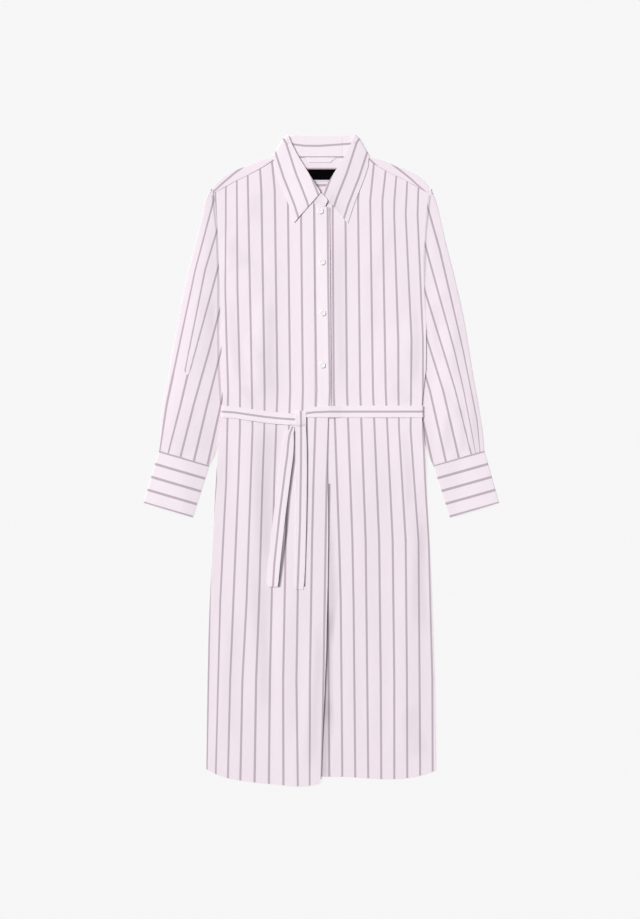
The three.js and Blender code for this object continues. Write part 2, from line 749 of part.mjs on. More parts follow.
// Placket: a doubled band, sewn to the right front and folded at the closing edge.
function placket() {
  const heights = [470, ...BODY_ROWS.filter((y) => y > PLACKET_END_Y + 6), PLACKET_END_Y];
  const rows = heights.map((height, i) => {
    const [seam, edge] = [seamX(height), read(PLACKET, "y", height, "edge")];
    const pivot = edge - LAYER / 2 - CLOTH / 2;
    const yAt = (x) => (i === 0 ? read(PLACKET_TOP, "x", x, "y") : height);
    const lift = (x) => leftFrontLower(x, yAt(x)) + 2 * LAYER;
    const upper = [seam, mix(seam, pivot, 0.5), pivot].map((x) => flat(x, yAt(x), lift(x)));
    const [high, low] = [lift(pivot) + CLOTH / 2, lift(pivot) - LAYER + CLOTH / 2];
    const turn = foldPoints([pivot, yAt(pivot)], [1, 0], high, low, 4);
    const under = [pivot, mix(seam, pivot, 0.5), seam].map((x) => flat(x, yAt(x), lift(x) - LAYER, -1));
    return [...upper, ...turn, ...under];
  });
  return new Cloth().grid(rows).mesh("front_placket", COLOURS.trim);
}

const mirrored = ([x, y]) => [-x, y];

// Collar stand: a band from the right closing end, round the back of the neck, to the left one.
function collarStand() {
  const across = [0, 0.5, 1];
  const station = (fold, seam, lowerAtSeam) => across.map((share) => {
    const [x, y] = mixPoint(fold, seam, share);
    return flat(x, y, lowerAtSeam + STAND_RISE * (1 - share));
  });
  const half = (ends, lower, place) => [...ends, ...STAND_SIDE].map(({ fold, seam }) =>
    station(place(fold), place(seam), lower(...place(seam))));
  const turn = (place, lower) => {
    const [fold, seam] = [place(STAND_SHOULDER.fold), place(STAND_SHOULDER.seam)];
    const out = place([-1, 0.3]);
    const columns = across.map((share) => {
      const pivot = mixPoint(fold, seam, share);
      const front = lower(...seam) + STAND_RISE * (1 - share);
      const points = foldPoints(pivot, out, front + CLOTH / 2, LAYER + CLOTH / 2, 4);
      return [flat(...pivot, front), ...points, flat(...pivot, LAYER, -1)];
    });
    return columns[0].map((_, row) => columns.map((column) => column[row]));
  };
  const behind = (sign, rows) => rows.map(({ x, top, bottom }) =>
    across.map((share) => flat(sign * x, mix(top, bottom, share), LAYER, -1)));
  const same = (point) => point;
  const rows = [
    ...half(STAND_OVERLAP_END, rightFrontLower, same),
    ...turn(same, rightFrontLower),
    ...behind(-1, STAND_BACK),
    ...behind(1, [...STAND_BACK].reverse().slice(1)),
    ...turn(mirrored, leftFrontLower).reverse(),
    ...half(STAND_UNDERLAP_END, leftFrontLower, mirrored).reverse(),
  ];
  return new Cloth().grid(rows).mesh("collar_stand", COLOURS.trim);
}

// Collar fall: two leaves on the fronts, joined behind the neck.
function collarFall(below) {
  const across = [0, 0.22, 0.48, 0.75, 1];
  const lengthwise = [0, 0.14, 0.28, 0.42, 0.56, 0.7, 0.84];
  const leaf = (place) => lengthwise.map((share) => {
    const [fold, edge] = [place(along(LEAF_FOLD, share)), place(along(LEAF_EDGE, share))];
    return across.map((step) => {
      const [x, y] = mixPoint(fold, edge, step);
      return flat(x, y, restOn(below, x, y, 12));
    });
  });
  const turn = (place) => {
    const columns = across.map((step) => {
      const rim = place(along(LEAF_SHOULDER, step));
      const out = place([-0.86, 0.5]);
      const high = restOn(below, rim[0] - out[0] * 3, rim[1] - out[1] * 3, 10);
      const inset = high / 2 + CLOTH / 2;
      const pivot = [rim[0] - out[0] * inset, rim[1] - out[1] * inset];
      const points = foldPoints(pivot, out, high + CLOTH / 2, CLOTH / 2, 6);
      return [flat(...pivot, high), ...points, flat(...pivot, 0, -1)];
    });
    return columns[0].map((_, row) => columns.map((column) => column[row]));
  };
  const behind = (sign, rows) => rows.map(({ x, top, bottom }) =>
    across.map((share) => flat(sign * x, mix(top, bottom, share), 0, -1)));
  const same = (point) => point;
  const rows = [
    ...leaf(same),
    ...turn(same),
    ...behind(-1, FALL_BACK),
    ...behind(1, [...FALL_BACK].reverse().slice(1)),
    ...turn(mirrored).reverse(),
    ...leaf(mirrored).reverse(),
  ];
  return new Cloth().grid(rows).mesh("collar_fall", COLOURS.trim);
}

// Belt: one strip from the knot, round the right side, behind the back, round the left side and back.
function belt(below) {
  const across = [1, 0, -1];
  const level = (x, y, width) => across.map((part) => {
    const edgeY = y + (part * width) / 2;
    return flat(x, edgeY, restOn(below, x, edgeY, 15));
  });
  const front = (rows) => rows.map(({ x, y, width }) => level(x, y, width));
  const turn = (side) => {
    const sign = signOf(side);
    const edgeX = sign * (sideAt(BELT_BACK_Y, side) + GAP);
    const columns = across.map((part) => {
      const y = BELT_BACK_Y + (part * BELT_WIDTH) / 2;
      const high = restOn(below, edgeX - sign * 6, y, 10) + CLOTH / 2;
      const low = sleeveLift(edgeX, y) + CLOTH / 2;
      const points = foldPoints([edgeX, y], [sign, 0], high, low, 6);
      return [flat(edgeX, y, high - CLOTH / 2), ...points, flat(edgeX, y, low - CLOTH / 2, -1)];
    });
    return columns[0].map((_, row) => columns.map((column) => column[row]));
  };
  const stations = (side) => edgeColumns(side).slice(1).map((columnX) => columnX(BELT_BACK_Y));
  const behind = [...stations("right"), ...BACK_MIDDLE, ...stations("left").reverse()].map((x) =>
    across.map((part) => {
      const y = BELT_BACK_Y + (part * BELT_WIDTH) / 2;
      return flat(x, y, sleeveLift(x, y), -1);
    }));
  const rows = [
    level(KNOT_MEET_X - SEAM, BELT_RIGHT[0].y + 1.5, 15),
    ...front(BELT_RIGHT),
    ...turn("right"),
    ...behind,
    ...turn("left").reverse(),
    ...front(BELT_LEFT),
    level(KNOT_MEET_X + SEAM, 84, 13),
  ];
  return new Cloth().grid(rows).mesh("belt_round", COLOURS.trim);
}

// A strip that lies on other pieces, from a table of its two edges.
function strip(name, table, below, reach) {
  const rows = table.map(({ y, from, to }) => [from, mix(from, to, 0.5), to].map((x) =>
    flat(x, y, restOn(below, x, y, reach))));
  return new Cloth().grid(rows).mesh(name, COLOURS.trim);
}

// Knot: the belt's end laid over the place where it crosses, rounded over at the top.
function knot(below) {
  const [from, to] = [-48.2, -26.6];
  const xs = [from, mix(from, to, 0.33), mix(from, to, 0.67), to];
  const heights = [KNOT_TOP_Y - 3, KNOT_TOP_Y - 12, KNOT_TOP_Y - 24, KNOT_END_Y];
  const over = (y) => xs.map((x) => flat(x, y, restOn(below, x, y, 9)));
  const brow = xs.map((x) => {
    const high = restOn(below, x, heights[0], 9);
    return flat(x, KNOT_TOP_Y, high - 0.6);
  });
  return new Cloth().grid([brow, ...heights.map(over)]).mesh("belt_knot", COLOURS.trim);
}

// Button: a shallow dish with a raised rim.
function button(place, number, below) {
  const profile = [
    [0, 0],
    [BUTTON_RADIUS - 0.5, 0],
    [BUTTON_RADIUS, 0.6],
    [BUTTON_RADIUS, 1.3],
    [BUTTON_RADIUS - 0.6, 1.9],
    [BUTTON_RADIUS - 1.5, 1.5],
    [0, 1.4],
  ].map(([radius, height]) => new THREE.Vector2(radius, height));
  const geometry = new THREE.LatheGeometry(profile, BUTTON_SEGMENTS);
  geometry.rotateX(Math.PI / 2);
  geometry.translate(place.x, place.y, restOn(below, place.x, place.y, BUTTON_RADIUS));
  return named(`button_${number}`, geometry, COLOURS.button);
}

// Small pieces sewn inside the back of the neck.
function neckPieces(below) {
  const loop = [
    { y: 560.0, from: -30.3, to: 27.0 },
    { y: 550.6, from: -22.0, to: 16.8 },
  ];
  const label = [
    { y: 538.0, from: -30.3, to: 29.8 },
    { y: 516.3, from: -30.3, to: 29.8 },
  ];
  const hanger = strip("neck_loop", loop, below, 3);
  const tag = strip("neck_label", label, below, 3);
  tag.material.color.set(COLOURS.label);
  return [hanger, tag];
}

const dress = new THREE.Group();
const panels = [back(), yoke(), rightFront(), leftFront()];
const [, yokePiece, rightPiece, leftPiece] = panels;
const placketPiece = placket();
const standPiece = collarStand();
const fronts = [rightPiece, leftPiece, placketPiece];
dress.add(...panels, placketPiece, standPiece);
dress.add(sleeve("right"), sleeve("left"), cuff("right"), cuff("left"));
dress.add(...neckPieces([yokePiece]));
dress.add(collarFall([yokePiece, ...fronts, standPiece]));
const beltPiece = belt(fronts);
const knotPiece = knot([...fronts, beltPiece]);
dress.add(beltPiece, knotPiece);
dress.add(strip("belt_tail_front", FRONT_TAIL, fronts, 12));
dress.add(strip("belt_tail_under", UNDER_TAIL, fronts, 12));
dress.add(...BUTTONS.map((place, i) => button(place, i + 1, [placketPiece])));

export default dress;
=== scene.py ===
# %% [markdown]
# # A striped shirt dress, laid flat
# The dress lies on its back on a pale surface, front up, as a shop photographs it. It is thin
# cotton: very pale pink, with fine mauve stripes along the grain. Everything here is in metres,
# in the frame of the imported model: X runs across the dress, Y from hem to collar, and Z up.
#
# The imported model already has each piece of cloth as a wall with the right outline, and with the
# layers lying on each other. This scene turns those walls into cloth: finer, softer, creased and
# striped. So the first step is to load them; together they have the size of the dress.

import bmesh
import bpy
import math
import numpy as np
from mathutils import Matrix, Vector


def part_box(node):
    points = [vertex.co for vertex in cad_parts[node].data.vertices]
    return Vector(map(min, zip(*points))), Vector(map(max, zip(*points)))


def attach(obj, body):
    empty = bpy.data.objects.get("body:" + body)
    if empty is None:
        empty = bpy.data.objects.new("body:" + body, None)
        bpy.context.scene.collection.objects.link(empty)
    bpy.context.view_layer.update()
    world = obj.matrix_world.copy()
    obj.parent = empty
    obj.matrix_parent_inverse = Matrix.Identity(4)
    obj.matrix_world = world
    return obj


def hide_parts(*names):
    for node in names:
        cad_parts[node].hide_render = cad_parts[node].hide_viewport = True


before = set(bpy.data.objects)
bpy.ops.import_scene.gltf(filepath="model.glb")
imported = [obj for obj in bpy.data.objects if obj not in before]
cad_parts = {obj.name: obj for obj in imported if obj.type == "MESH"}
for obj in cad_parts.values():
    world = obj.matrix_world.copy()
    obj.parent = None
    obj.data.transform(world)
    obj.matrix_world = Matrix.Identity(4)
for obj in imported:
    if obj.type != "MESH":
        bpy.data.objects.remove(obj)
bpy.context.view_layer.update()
MM = 0.001

# %% [markdown]
# ## Camera
# The photograph looks straight down, and shows no perspective on a thing this thin. A long lens
# far above the dress gives the same view. Its frame is as tall as the photograph: 919 rows of
# pixels, each 1.85 mm of the real dress.

# %% Camera
PIXEL = 1.85 * MM
VIEW_HEIGHT = 919 * PIXEL
VIEW_CENTRE = (-2.4 * MM, 1.4 * MM)
LENS = 120.0
SENSOR = 36.0

camera_data = bpy.data.cameras.new("camera")
camera_data.sensor_fit = "VERTICAL"
camera_data.sensor_height = SENSOR
camera_data.lens = LENS
camera = bpy.data.objects.new("camera", camera_data)
bpy.context.scene.collection.objects.link(camera)
camera.location = (*VIEW_CENTRE, VIEW_HEIGHT * LENS / SENSOR)
bpy.context.scene.camera = camera
print("camera height:", round(camera.location.z, 3))

# %% [markdown]
# ## Floor and light
# The surface is a plain near-white that glows evenly, like the light table of a photo studio, so
# the dress throws hardly a shadow on it. A sun lamp lights cloth the same everywhere, which an
# area lamp doesn't. It stands to the upper left and has a wide angle, so that the shadows of
# collar, belt and placket are soft, and the sky fills the rest.

# %% Floor and light
floor_mesh = bpy.data.meshes.new("floor")
bm = bmesh.new()
bmesh.ops.create_grid(bm, x_segments=1, y_segments=1, size=6)
bmesh.ops.translate(bm, verts=bm.verts, vec=(0, 0, -0.2 * MM))
bm.to_mesh(floor_mesh)
bm.free()
floor = bpy.data.objects.new("floor", floor_mesh)
bpy.context.scene.collection.objects.link(floor)

floor_paint = bpy.data.materials.new("light_table")
floor_paint.use_nodes = True
floor_shader = floor_paint.node_tree.nodes["Principled BSDF"]
floor_shader.inputs["Base Color"].default_value = (0.14, 0.14, 0.14, 1)
floor_shader.inputs["Roughness"].default_value = 0.9
floor_shader.inputs["Emission Color"].default_value = (1, 1, 1, 1)
floor_shader.inputs["Emission Strength"].default_value = 0.765
floor_mesh.materials.append(floor_paint)

sun_data = bpy.data.lights.new("window", "SUN")
sun_data.energy = 2.55
sun_data.angle = math.radians(20)
sun = bpy.data.objects.new("window", sun_data)
sun.rotation_euler = (math.radians(-19), math.radians(-37), 0)
bpy.context.scene.collection.objects.link(sun)

world = bpy.data.worlds.new("studio")
world.use_nodes = True
world.node_tree.nodes["Background"].inputs["Color"].default_value = (1, 1, 1, 1)
world.node_tree.nodes["Background"].inputs["Strength"].default_value = 0.42
bpy.context.scene.world = world
bpy.context.scene.view_settings.view_transform = "Standard"
print("floor and light ready")

# %% [markdown]
# ## The cloth's material
# The stripes are woven in, so they follow the cloth and not the view. Each piece gets a UV map
# in metres, in which U counts across the stripes: every whole number of repeats is the middle of
# one stripe. The weave is a fine grid of threads along U and V.
#
# Striped and plain cloth both need the weave, and the trim needs the stripes in its own shade, so
# each effect is a node group with named sockets, built once.

# %% Node groups
STRIPE_REPEAT = 24.0 * MM
STRIPE_WIDTH = 3.8 * MM
THREAD = 0.42 * MM


def new_group(name, inputs, outputs):
    group = bpy.data.node_groups.new(name, "ShaderNodeTree")
    for label, kind, value in inputs:
        socket = group.interface.new_socket(label, in_out="INPUT", socket_type=kind)
        if value is not None:
            socket.default_value = value
    for label, kind in outputs:
        group.interface.new_socket(label, in_out="OUTPUT", socket_type=kind)
    return group, group.nodes.new("NodeGroupInput"), group.nodes.new("NodeGroupOutput")


def math_node(tree, operation, first, second=None, clamp=False):
    node = tree.nodes.new("ShaderNodeMath")
    node.operation = operation
    node.use_clamp = clamp
    for socket, value in zip(node.inputs, (first, second)):
        if value is None:
            continue
        if isinstance(value, (int, float)):
            socket.default_value = value
        else:
            tree.links.new(value, socket)
    return node.outputs[0]


def mix_colour(tree, first, second, factor):
    node = tree.nodes.new("ShaderNodeMix")
    node.data_type = "RGBA"
    for label, value in (("A", first), ("B", second)):
        if isinstance(value, tuple):
            node.inputs[label].default_value = value
        else:
            tree.links.new(value, node.inputs[label])
    tree.links.new(factor, node.inputs["Factor"])
    return node.outputs["Result"]


def new_material(name):
    material = bpy.data.materials.new(name)
    material.use_nodes = True
    return material, material.node_tree, material.node_tree.nodes["Principled BSDF"]


def stripe_group():
    group, ins, outs = new_group(
        "woven_stripe",
        [("Cloth", "NodeSocketVector", None), ("Width", "NodeSocketFloat", STRIPE_WIDTH)],
        [("Stripe", "NodeSocketFloat"), ("Weave", "NodeSocketFloat"), ("Slub", "NodeSocketFloat")],
    )
    split = group.nodes.new("ShaderNodeSeparateXYZ")
    group.links.new(ins.outputs["Cloth"], split.inputs[0])
    across = math_node(group, "DIVIDE", split.outputs["X"], STRIPE_REPEAT)
    nearest = math_node(group, "ROUND", across)
    away = math_node(group, "ABSOLUTE", math_node(group, "SUBTRACT", across, nearest))
    away = math_node(group, "MULTIPLY", away, STRIPE_REPEAT)
    half = math_node(group, "MULTIPLY", ins.outputs["Width"], 0.5)
    edge = math_node(group, "SUBTRACT", half, away)
    mask = math_node(group, "ADD", math_node(group, "DIVIDE", edge, 0.5 * MM), 0.5, clamp=True)
    # Threads of the stripe pass under and over the ground's, so the stripe is a little broken up.
    warp = math_node(group, "SINE", math_node(group, "MULTIPLY", split.outputs["X"], math.tau / THREAD))
    weft = math_node(group, "SINE", math_node(group, "MULTIPLY", split.outputs["Y"], math.tau / THREAD))
    crossing = math_node(group, "MULTIPLY", warp, weft)
    weave = math_node(group, "ADD", math_node(group, "MULTIPLY", crossing, 0.5), 0.5)
    broken = math_node(group, "ADD", math_node(group, "MULTIPLY", weave, 0.25), 0.75)
    group.links.new(math_node(group, "MULTIPLY", mask, broken), outs.inputs["Stripe"])
    group.links.new(weave, outs.inputs["Weave"])
    stretch = group.nodes.new("ShaderNodeMapping")
    stretch.inputs["Scale"].default_value = (900, 60, 1)
    group.links.new(ins.outputs["Cloth"], stretch.inputs["Vector"])
    slub = group.nodes.new("ShaderNodeTexNoise")
    slub.inputs["Scale"].default_value = 1.0
    slub.inputs["Detail"].default_value = 2.0
    group.links.new(stretch.outputs[0], slub.inputs["Vector"])
    group.links.new(slub.outputs["Fac"], outs.inputs["Slub"])
    return group


def wrinkle_group():
    group, ins, outs = new_group(
        "soft_wrinkle",
        [("Cloth", "NodeSocketVector", None), ("Size", "NodeSocketFloat", 0.03)],
        [("Height", "NodeSocketFloat")],
    )
    stretch = group.nodes.new("ShaderNodeMapping")
    stretch.inputs["Scale"].default_value = (1.0, 0.45, 1.0)
    group.links.new(ins.outputs["Cloth"], stretch.inputs["Vector"])
    noise = group.nodes.new("ShaderNodeTexNoise")
    noise.inputs["Detail"].default_value = 3.0
    noise.inputs["Roughness"].default_value = 0.55
    scale = math_node(group, "DIVIDE", 1.0, ins.outputs["Size"])
    group.links.new(scale, noise.inputs["Scale"])
    group.links.new(stretch.outputs[0], noise.inputs["Vector"])
    group.links.new(noise.outputs["Fac"], outs.inputs["Height"])
    return group


def contact_group():
    """Shade along a straight line on the cloth, darkest on the line and gone at its half width."""
    group, ins, outs = new_group(
        "contact_shadow",
        [("Place", "NodeSocketVector", None), ("Start", "NodeSocketVector", None),
         ("End", "NodeSocketVector", None), ("Half", "NodeSocketFloat", 2 * MM),
         ("Dark", "NodeSocketFloat", 0.3)],
        [("Shade", "NodeSocketFloat")],
    )

    def vector_node(operation, first, second):
        node = group.nodes.new("ShaderNodeVectorMath")
        node.operation = operation
        for socket, value in zip(node.inputs, (first, second)):
            if isinstance(value, tuple):
                socket.default_value = value
            else:
                group.links.new(value, socket)
        return node

    flat = vector_node("MULTIPLY", ins.outputs["Place"], (1.0, 1.0, 0.0)).outputs[0]
    away = vector_node("SUBTRACT", flat, ins.outputs["Start"]).outputs[0]
    line = vector_node("SUBTRACT", ins.outputs["End"], ins.outputs["Start"]).outputs[0]
    along = vector_node("DOT_PRODUCT", away, line).outputs["Value"]
    length = vector_node("DOT_PRODUCT", line, line).outputs["Value"]
    share = math_node(group, "DIVIDE", along, length, clamp=True)
    reach = group.nodes.new("ShaderNodeVectorMath")
    reach.operation = "SCALE"
    group.links.new(line, reach.inputs[0])
    group.links.new(share, reach.inputs["Scale"])
    off = vector_node("DISTANCE", away, reach.outputs[0]).outputs["Value"]
    part = math_node(group, "DIVIDE", off, ins.outputs["Half"])
    fall_off = math_node(group, "SUBTRACT", 1.0, math_node(group, "MULTIPLY", part, part), clamp=True)
    group.links.new(math_node(group, "MULTIPLY", fall_off, ins.outputs["Dark"]), outs.inputs["Shade"])
    return group


STRIPES = stripe_group()
WRINKLES = wrinkle_group()
CONTACT = contact_group()
print("node groups:", STRIPES.name, WRINKLES.name, CONTACT.name)

# %% [markdown]
# The Principled shader stays in each material, and gets its colour from the groups. Cotton this
# thin has no gloss, only a faint sheen at grazing angles, which the shader's own sheen gives.
#
# Where one layer ends on another, it throws a thin shadow, narrower than the cells of the cloth.
# Those shadows are painted by the material of the lower layer, as are the shade in the slit at the
# stand's front end and a faint crease at the neck. A contact shadow is a line of points in
# millimetres, with its half width and its darkness.

# %% Cloth materials
# Painted contact shadows: their points, half width and darkness, in millimetres.
FRONT_TAIL_SHADOW = ([(-27.3, 79), (-25.7, 10), (-26.1, -60), (-27.5, -125), (-31.2, -232)], 2.7, 0.78)
UNDER_TAIL_SHADOW = ([(-50.0, 52), (-50.8, 0), (-60.0, -70), (-65.2, -135), (-78.0, -232)], 4.0, 0.74)
LEAF_EDGE_SHADOW = ([(-47.0, 443.0), (-24.4, 469.5), (-1.0, 496.0)], 2.6, 0.36)
# Painted shadow in the slit at the stand's front end, beside the collar point.
STAND_SLIT_SHADOW = ([(13.0, 480.0), (8.6, 470.6)], 1.7, 0.80)
# Painted shade along a faint crease in the stand.
NECK_CREASE_SHADE = ([(39.0, 597.0), (38.2, 566.0)], 1.2, 0.10)
PLEAT_EDGE_SHADOW = ([(15.0, -45), (14.2, -110), (12.4, -215), (11.0, -350), (6.6, -445), (-1.4, -570)], 2.8, 0.58)
ARMHOLE_SHADOW_LINE = [(201, 488), (193.6, 422), (190.6, 333), (191, 237), (190, 170), (185.6, 104)]
SLEEVE_SHADOWS = [(ARMHOLE_SHADOW_LINE, 2.6, 0.30), ([(-x, y) for x, y in ARMHOLE_SHADOW_LINE], 2.6, 0.30)]
GROUND = (0.905, 0.800, 0.868, 1)
TRIM_GROUND = (0.925, 0.830, 0.893, 1)
STRIPE_COLOUR = (0.420, 0.335, 0.398, 1)


def contact_shade(tree, shadow_lines):
    """The darkest of all painted contact shadows at each place of the piece."""
    place = tree.nodes.new("ShaderNodeTexCoord")
    darkest = 0.0
    for points, half, dark in shadow_lines:
        for start, end in zip(points, points[1:]):
            line = tree.nodes.new("ShaderNodeGroup")
            line.node_tree = CONTACT
            line.inputs["Start"].default_value = (start[0] * MM, start[1] * MM, 0)
            line.inputs["End"].default_value = (end[0] * MM, end[1] * MM, 0)
            line.inputs["Half"].default_value = half * MM
            line.inputs["Dark"].default_value = dark
            tree.links.new(place.outputs["Object"], line.inputs["Place"])
            darkest = math_node(tree, "MAXIMUM", line.outputs["Shade"], darkest)
    return darkest


def cloth_material(name, ground, wrinkle_size, wrinkle_height, stripe_width, shadow_lines=()):
    material, tree, shader = new_material(name)
    shader.inputs["Roughness"].default_value = 0.82
    shader.inputs["Sheen Weight"].default_value = 0.08
    shader.inputs["Sheen Roughness"].default_value = 0.5
    shader.inputs["Specular IOR Level"].default_value = 0.25
    cloth = tree.nodes.new("ShaderNodeUVMap")
    cloth.uv_map = "cloth"
    stripes = tree.nodes.new("ShaderNodeGroup")
    stripes.node_tree = STRIPES
    stripes.inputs["Width"].default_value = stripe_width
    tree.links.new(cloth.outputs[0], stripes.inputs["Cloth"])
    slub = math_node(tree, "MULTIPLY", stripes.outputs["Slub"], 0.55)
    darker = tuple(c * 0.93 for c in ground[:3]) + (1,)
    stripe = math_node(tree, "MULTIPLY", stripes.outputs["Stripe"], 0.9)
    colour = mix_colour(tree, mix_colour(tree, ground, darker, slub), STRIPE_COLOUR, stripe)
    # Painted shade: the piece's shade attribute and its painted contact shadows darken the colour.
    shadow = tree.nodes.new("ShaderNodeAttribute")
    shadow.attribute_name = "shade"
    light = tree.nodes.new("ShaderNodeVectorMath")
    light.operation = "SCALE"
    tree.links.new(colour, light.inputs[0])
    lit = math_node(tree, "SUBTRACT", 1.0, shadow.outputs["Fac"])
    if shadow_lines:
        open_share = math_node(tree, "SUBTRACT", 1.0, contact_shade(tree, shadow_lines))
        lit = math_node(tree, "MULTIPLY", lit, open_share)
    tree.links.new(lit, light.inputs["Scale"])
    tree.links.new(light.outputs[0], shader.inputs["Base Color"])
    wrinkles = tree.nodes.new("ShaderNodeGroup")
    wrinkles.node_tree = WRINKLES
    wrinkles.inputs["Size"].default_value = wrinkle_size
    tree.links.new(cloth.outputs[0], wrinkles.inputs["Cloth"])
    coarse = tree.nodes.new("ShaderNodeBump")
    coarse.inputs["Distance"].default_value = wrinkle_height
    coarse.inputs["Strength"].default_value = 1.0
    tree.links.new(wrinkles.outputs["Height"], coarse.inputs["Height"])
    fine = tree.nodes.new("ShaderNodeBump")
    fine.inputs["Distance"].default_value = 0.05 * MM
    fine.inputs["Strength"].default_value = 0.6
    tree.links.new(stripes.outputs["Weave"], fine.inputs["Height"])
    tree.links.new(coarse.outputs["Normal"], fine.inputs["Normal"])
    tree.links.new(fine.outputs["Normal"], shader.inputs["Normal"])
    return material


def cotton(name="striped_cotton", shadow_lines=()):
    return cloth_material(name, GROUND, 30 * MM, 0.7 * MM, STRIPE_WIDTH, shadow_lines)


def trim(name="double_cotton", shadow_lines=()):
    return cloth_material(name, TRIM_GROUND, 14 * MM, 0.35 * MM, STRIPE_WIDTH, shadow_lines)


COTTON = cotton()
TRIM = trim()
RIGHT_COTTON = cotton("right_front_cotton", [FRONT_TAIL_SHADOW, UNDER_TAIL_SHADOW, LEAF_EDGE_SHADOW])
LEFT_COTTON = cotton("left_front_cotton", [PLEAT_EDGE_SHADOW, STAND_SLIT_SHADOW])
SLEEVE_COTTON = cotton("sleeve_cotton", SLEEVE_SHADOWS)
CUFF_TRIM = cloth_material("cuff_cotton", TRIM_GROUND, 14 * MM, 0.35 * MM, 4.5 * MM)
PLACKET_TRIM = trim("placket_cotton", [LEAF_EDGE_SHADOW, STAND_SLIT_SHADOW])
STAND_TRIM = trim("stand_cotton", [LEAF_EDGE_SHADOW, NECK_CREASE_SHADE])
print("cloth materials:", len(bpy.data.materials))

# %% [markdown]
# ## From a wall to cloth
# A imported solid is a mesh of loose, large triangles. One helper makes cloth of it. It copies the
# mesh, merges its doubles, joins pairs of triangles back into four-sided cells, and cuts every
# long edge in half until the cells are a few millimetres wide. The inside of each face is then
# smoothed up and down only, so that outlines stay where the solid has them. Last, the rim of the
# wall gets a small bevel, as the edge of a hem is never sharp.
#
# Where a pleat swallows a stripe, the number of the stripe jumps by one inside a cell. All corners
# of such a cell are given the same number, so the two stripes meet as one.

# %% Cloth from a solid
CELL = 7.0 * MM
FLATNESS = 0.9


def cut_to_size(bm, longest):
    for _ in range(8):
        long_edges = [edge for edge in bm.edges if edge.calc_length() > longest]
        if not long_edges:
            break
        bmesh.ops.subdivide_edges(bm, edges=long_edges, cuts=1, use_grid_fill=True)


def sheet_vertices(bm):
    return [v for v in bm.verts if all(abs(f.normal.z) > FLATNESS for f in v.link_faces)]


def cloth_mesh(node, cell=CELL, softness=30, bevel=0.3 * MM):
    bm = bmesh.new()
    bm.from_mesh(bpy.data.objects[node].data)
    bmesh.ops.remove_doubles(bm, verts=bm.verts, dist=0.002 * MM)
    bmesh.ops.join_triangles(
        bm, faces=bm.faces, angle_face_threshold=math.radians(35), angle_shape_threshold=math.radians(75)
    )
    cut_to_size(bm, cell)
    bm.normal_update()
    soft = sheet_vertices(bm)
    for _ in range(softness):
        bmesh.ops.smooth_vert(bm, verts=soft, factor=0.5, use_axis_x=False, use_axis_y=False, use_axis_z=True)
    bm.normal_update()
    rims = [edge for edge in bm.edges if edge.calc_face_angle(0) > math.radians(55)]
    if bevel:
        bmesh.ops.bevel(
            bm, geom=rims, offset=bevel, offset_type="OFFSET", affect="EDGES", segments=2, profile=0.5,
            material=-1,
        )
    return bm


def finish_cloth(name, bm, place_uv, material, nodes, shape=None, shade=None):
    """Bends the cloth, gives it its UV map, shade and material, and puts it in the scene."""
    mesh = bpy.data.meshes.new(name)
    bm.to_mesh(mesh)
    bm.free()
    at = np.empty(len(mesh.vertices) * 3)
    mesh.vertices.foreach_get("co", at)
    at = at.reshape(-1, 3)
    uv = np.column_stack(place_uv(at))
    if shape is not None:
        at[:, 2] += shape(at)
        mesh.vertices.foreach_set("co", at.ravel())
    corners = np.empty(len(mesh.loops), dtype=int)
    mesh.loops.foreach_get("vertex_index", corners)
    starts = np.empty(len(mesh.polygons), dtype=int)
    mesh.polygons.foreach_get("loop_start", starts)
    counts = np.diff(np.append(starts, len(corners)))
    uv = uv[corners]
    jump = (uv[:, 0] - np.repeat(uv[starts, 0], counts)) / STRIPE_REPEAT
    uv[:, 0] -= np.where(np.abs(jump) > 0.7, np.round(jump), 0) * STRIPE_REPEAT
    layer = mesh.uv_layers.new(name="cloth")
    layer.data.foreach_set("uv", uv.ravel())
    if shade is not None:
        mesh.attributes.new("shade", "FLOAT", "POINT").data.foreach_set("value", shade(at).astype(np.float32))
    for face in mesh.polygons:
        face.use_smooth = True
    mesh.materials.append(material)
    piece = bpy.data.objects.new(name, mesh)
    bpy.context.scene.collection.objects.link(piece)
    even = piece.modifiers.new("even_shading", "WEIGHTED_NORMAL")
    even.keep_sharp = True
    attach(piece, "root")
    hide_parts(*nodes)
    print(name, "faces:", len(mesh.polygons))
    return piece


# %% [markdown]
# ## Creases
# Cloth that was folded, worn and laid down keeps soft creases. A crease here is a low ridge whose
# right flank faces away from the light, along a line from one point to another. All layers that
# lie on each other rise by the same amount, so that none cuts through its neighbour, and nothing
# goes down, because the dress lies on a flat surface. The same lines also carry a faint painted
# shade along that flank.

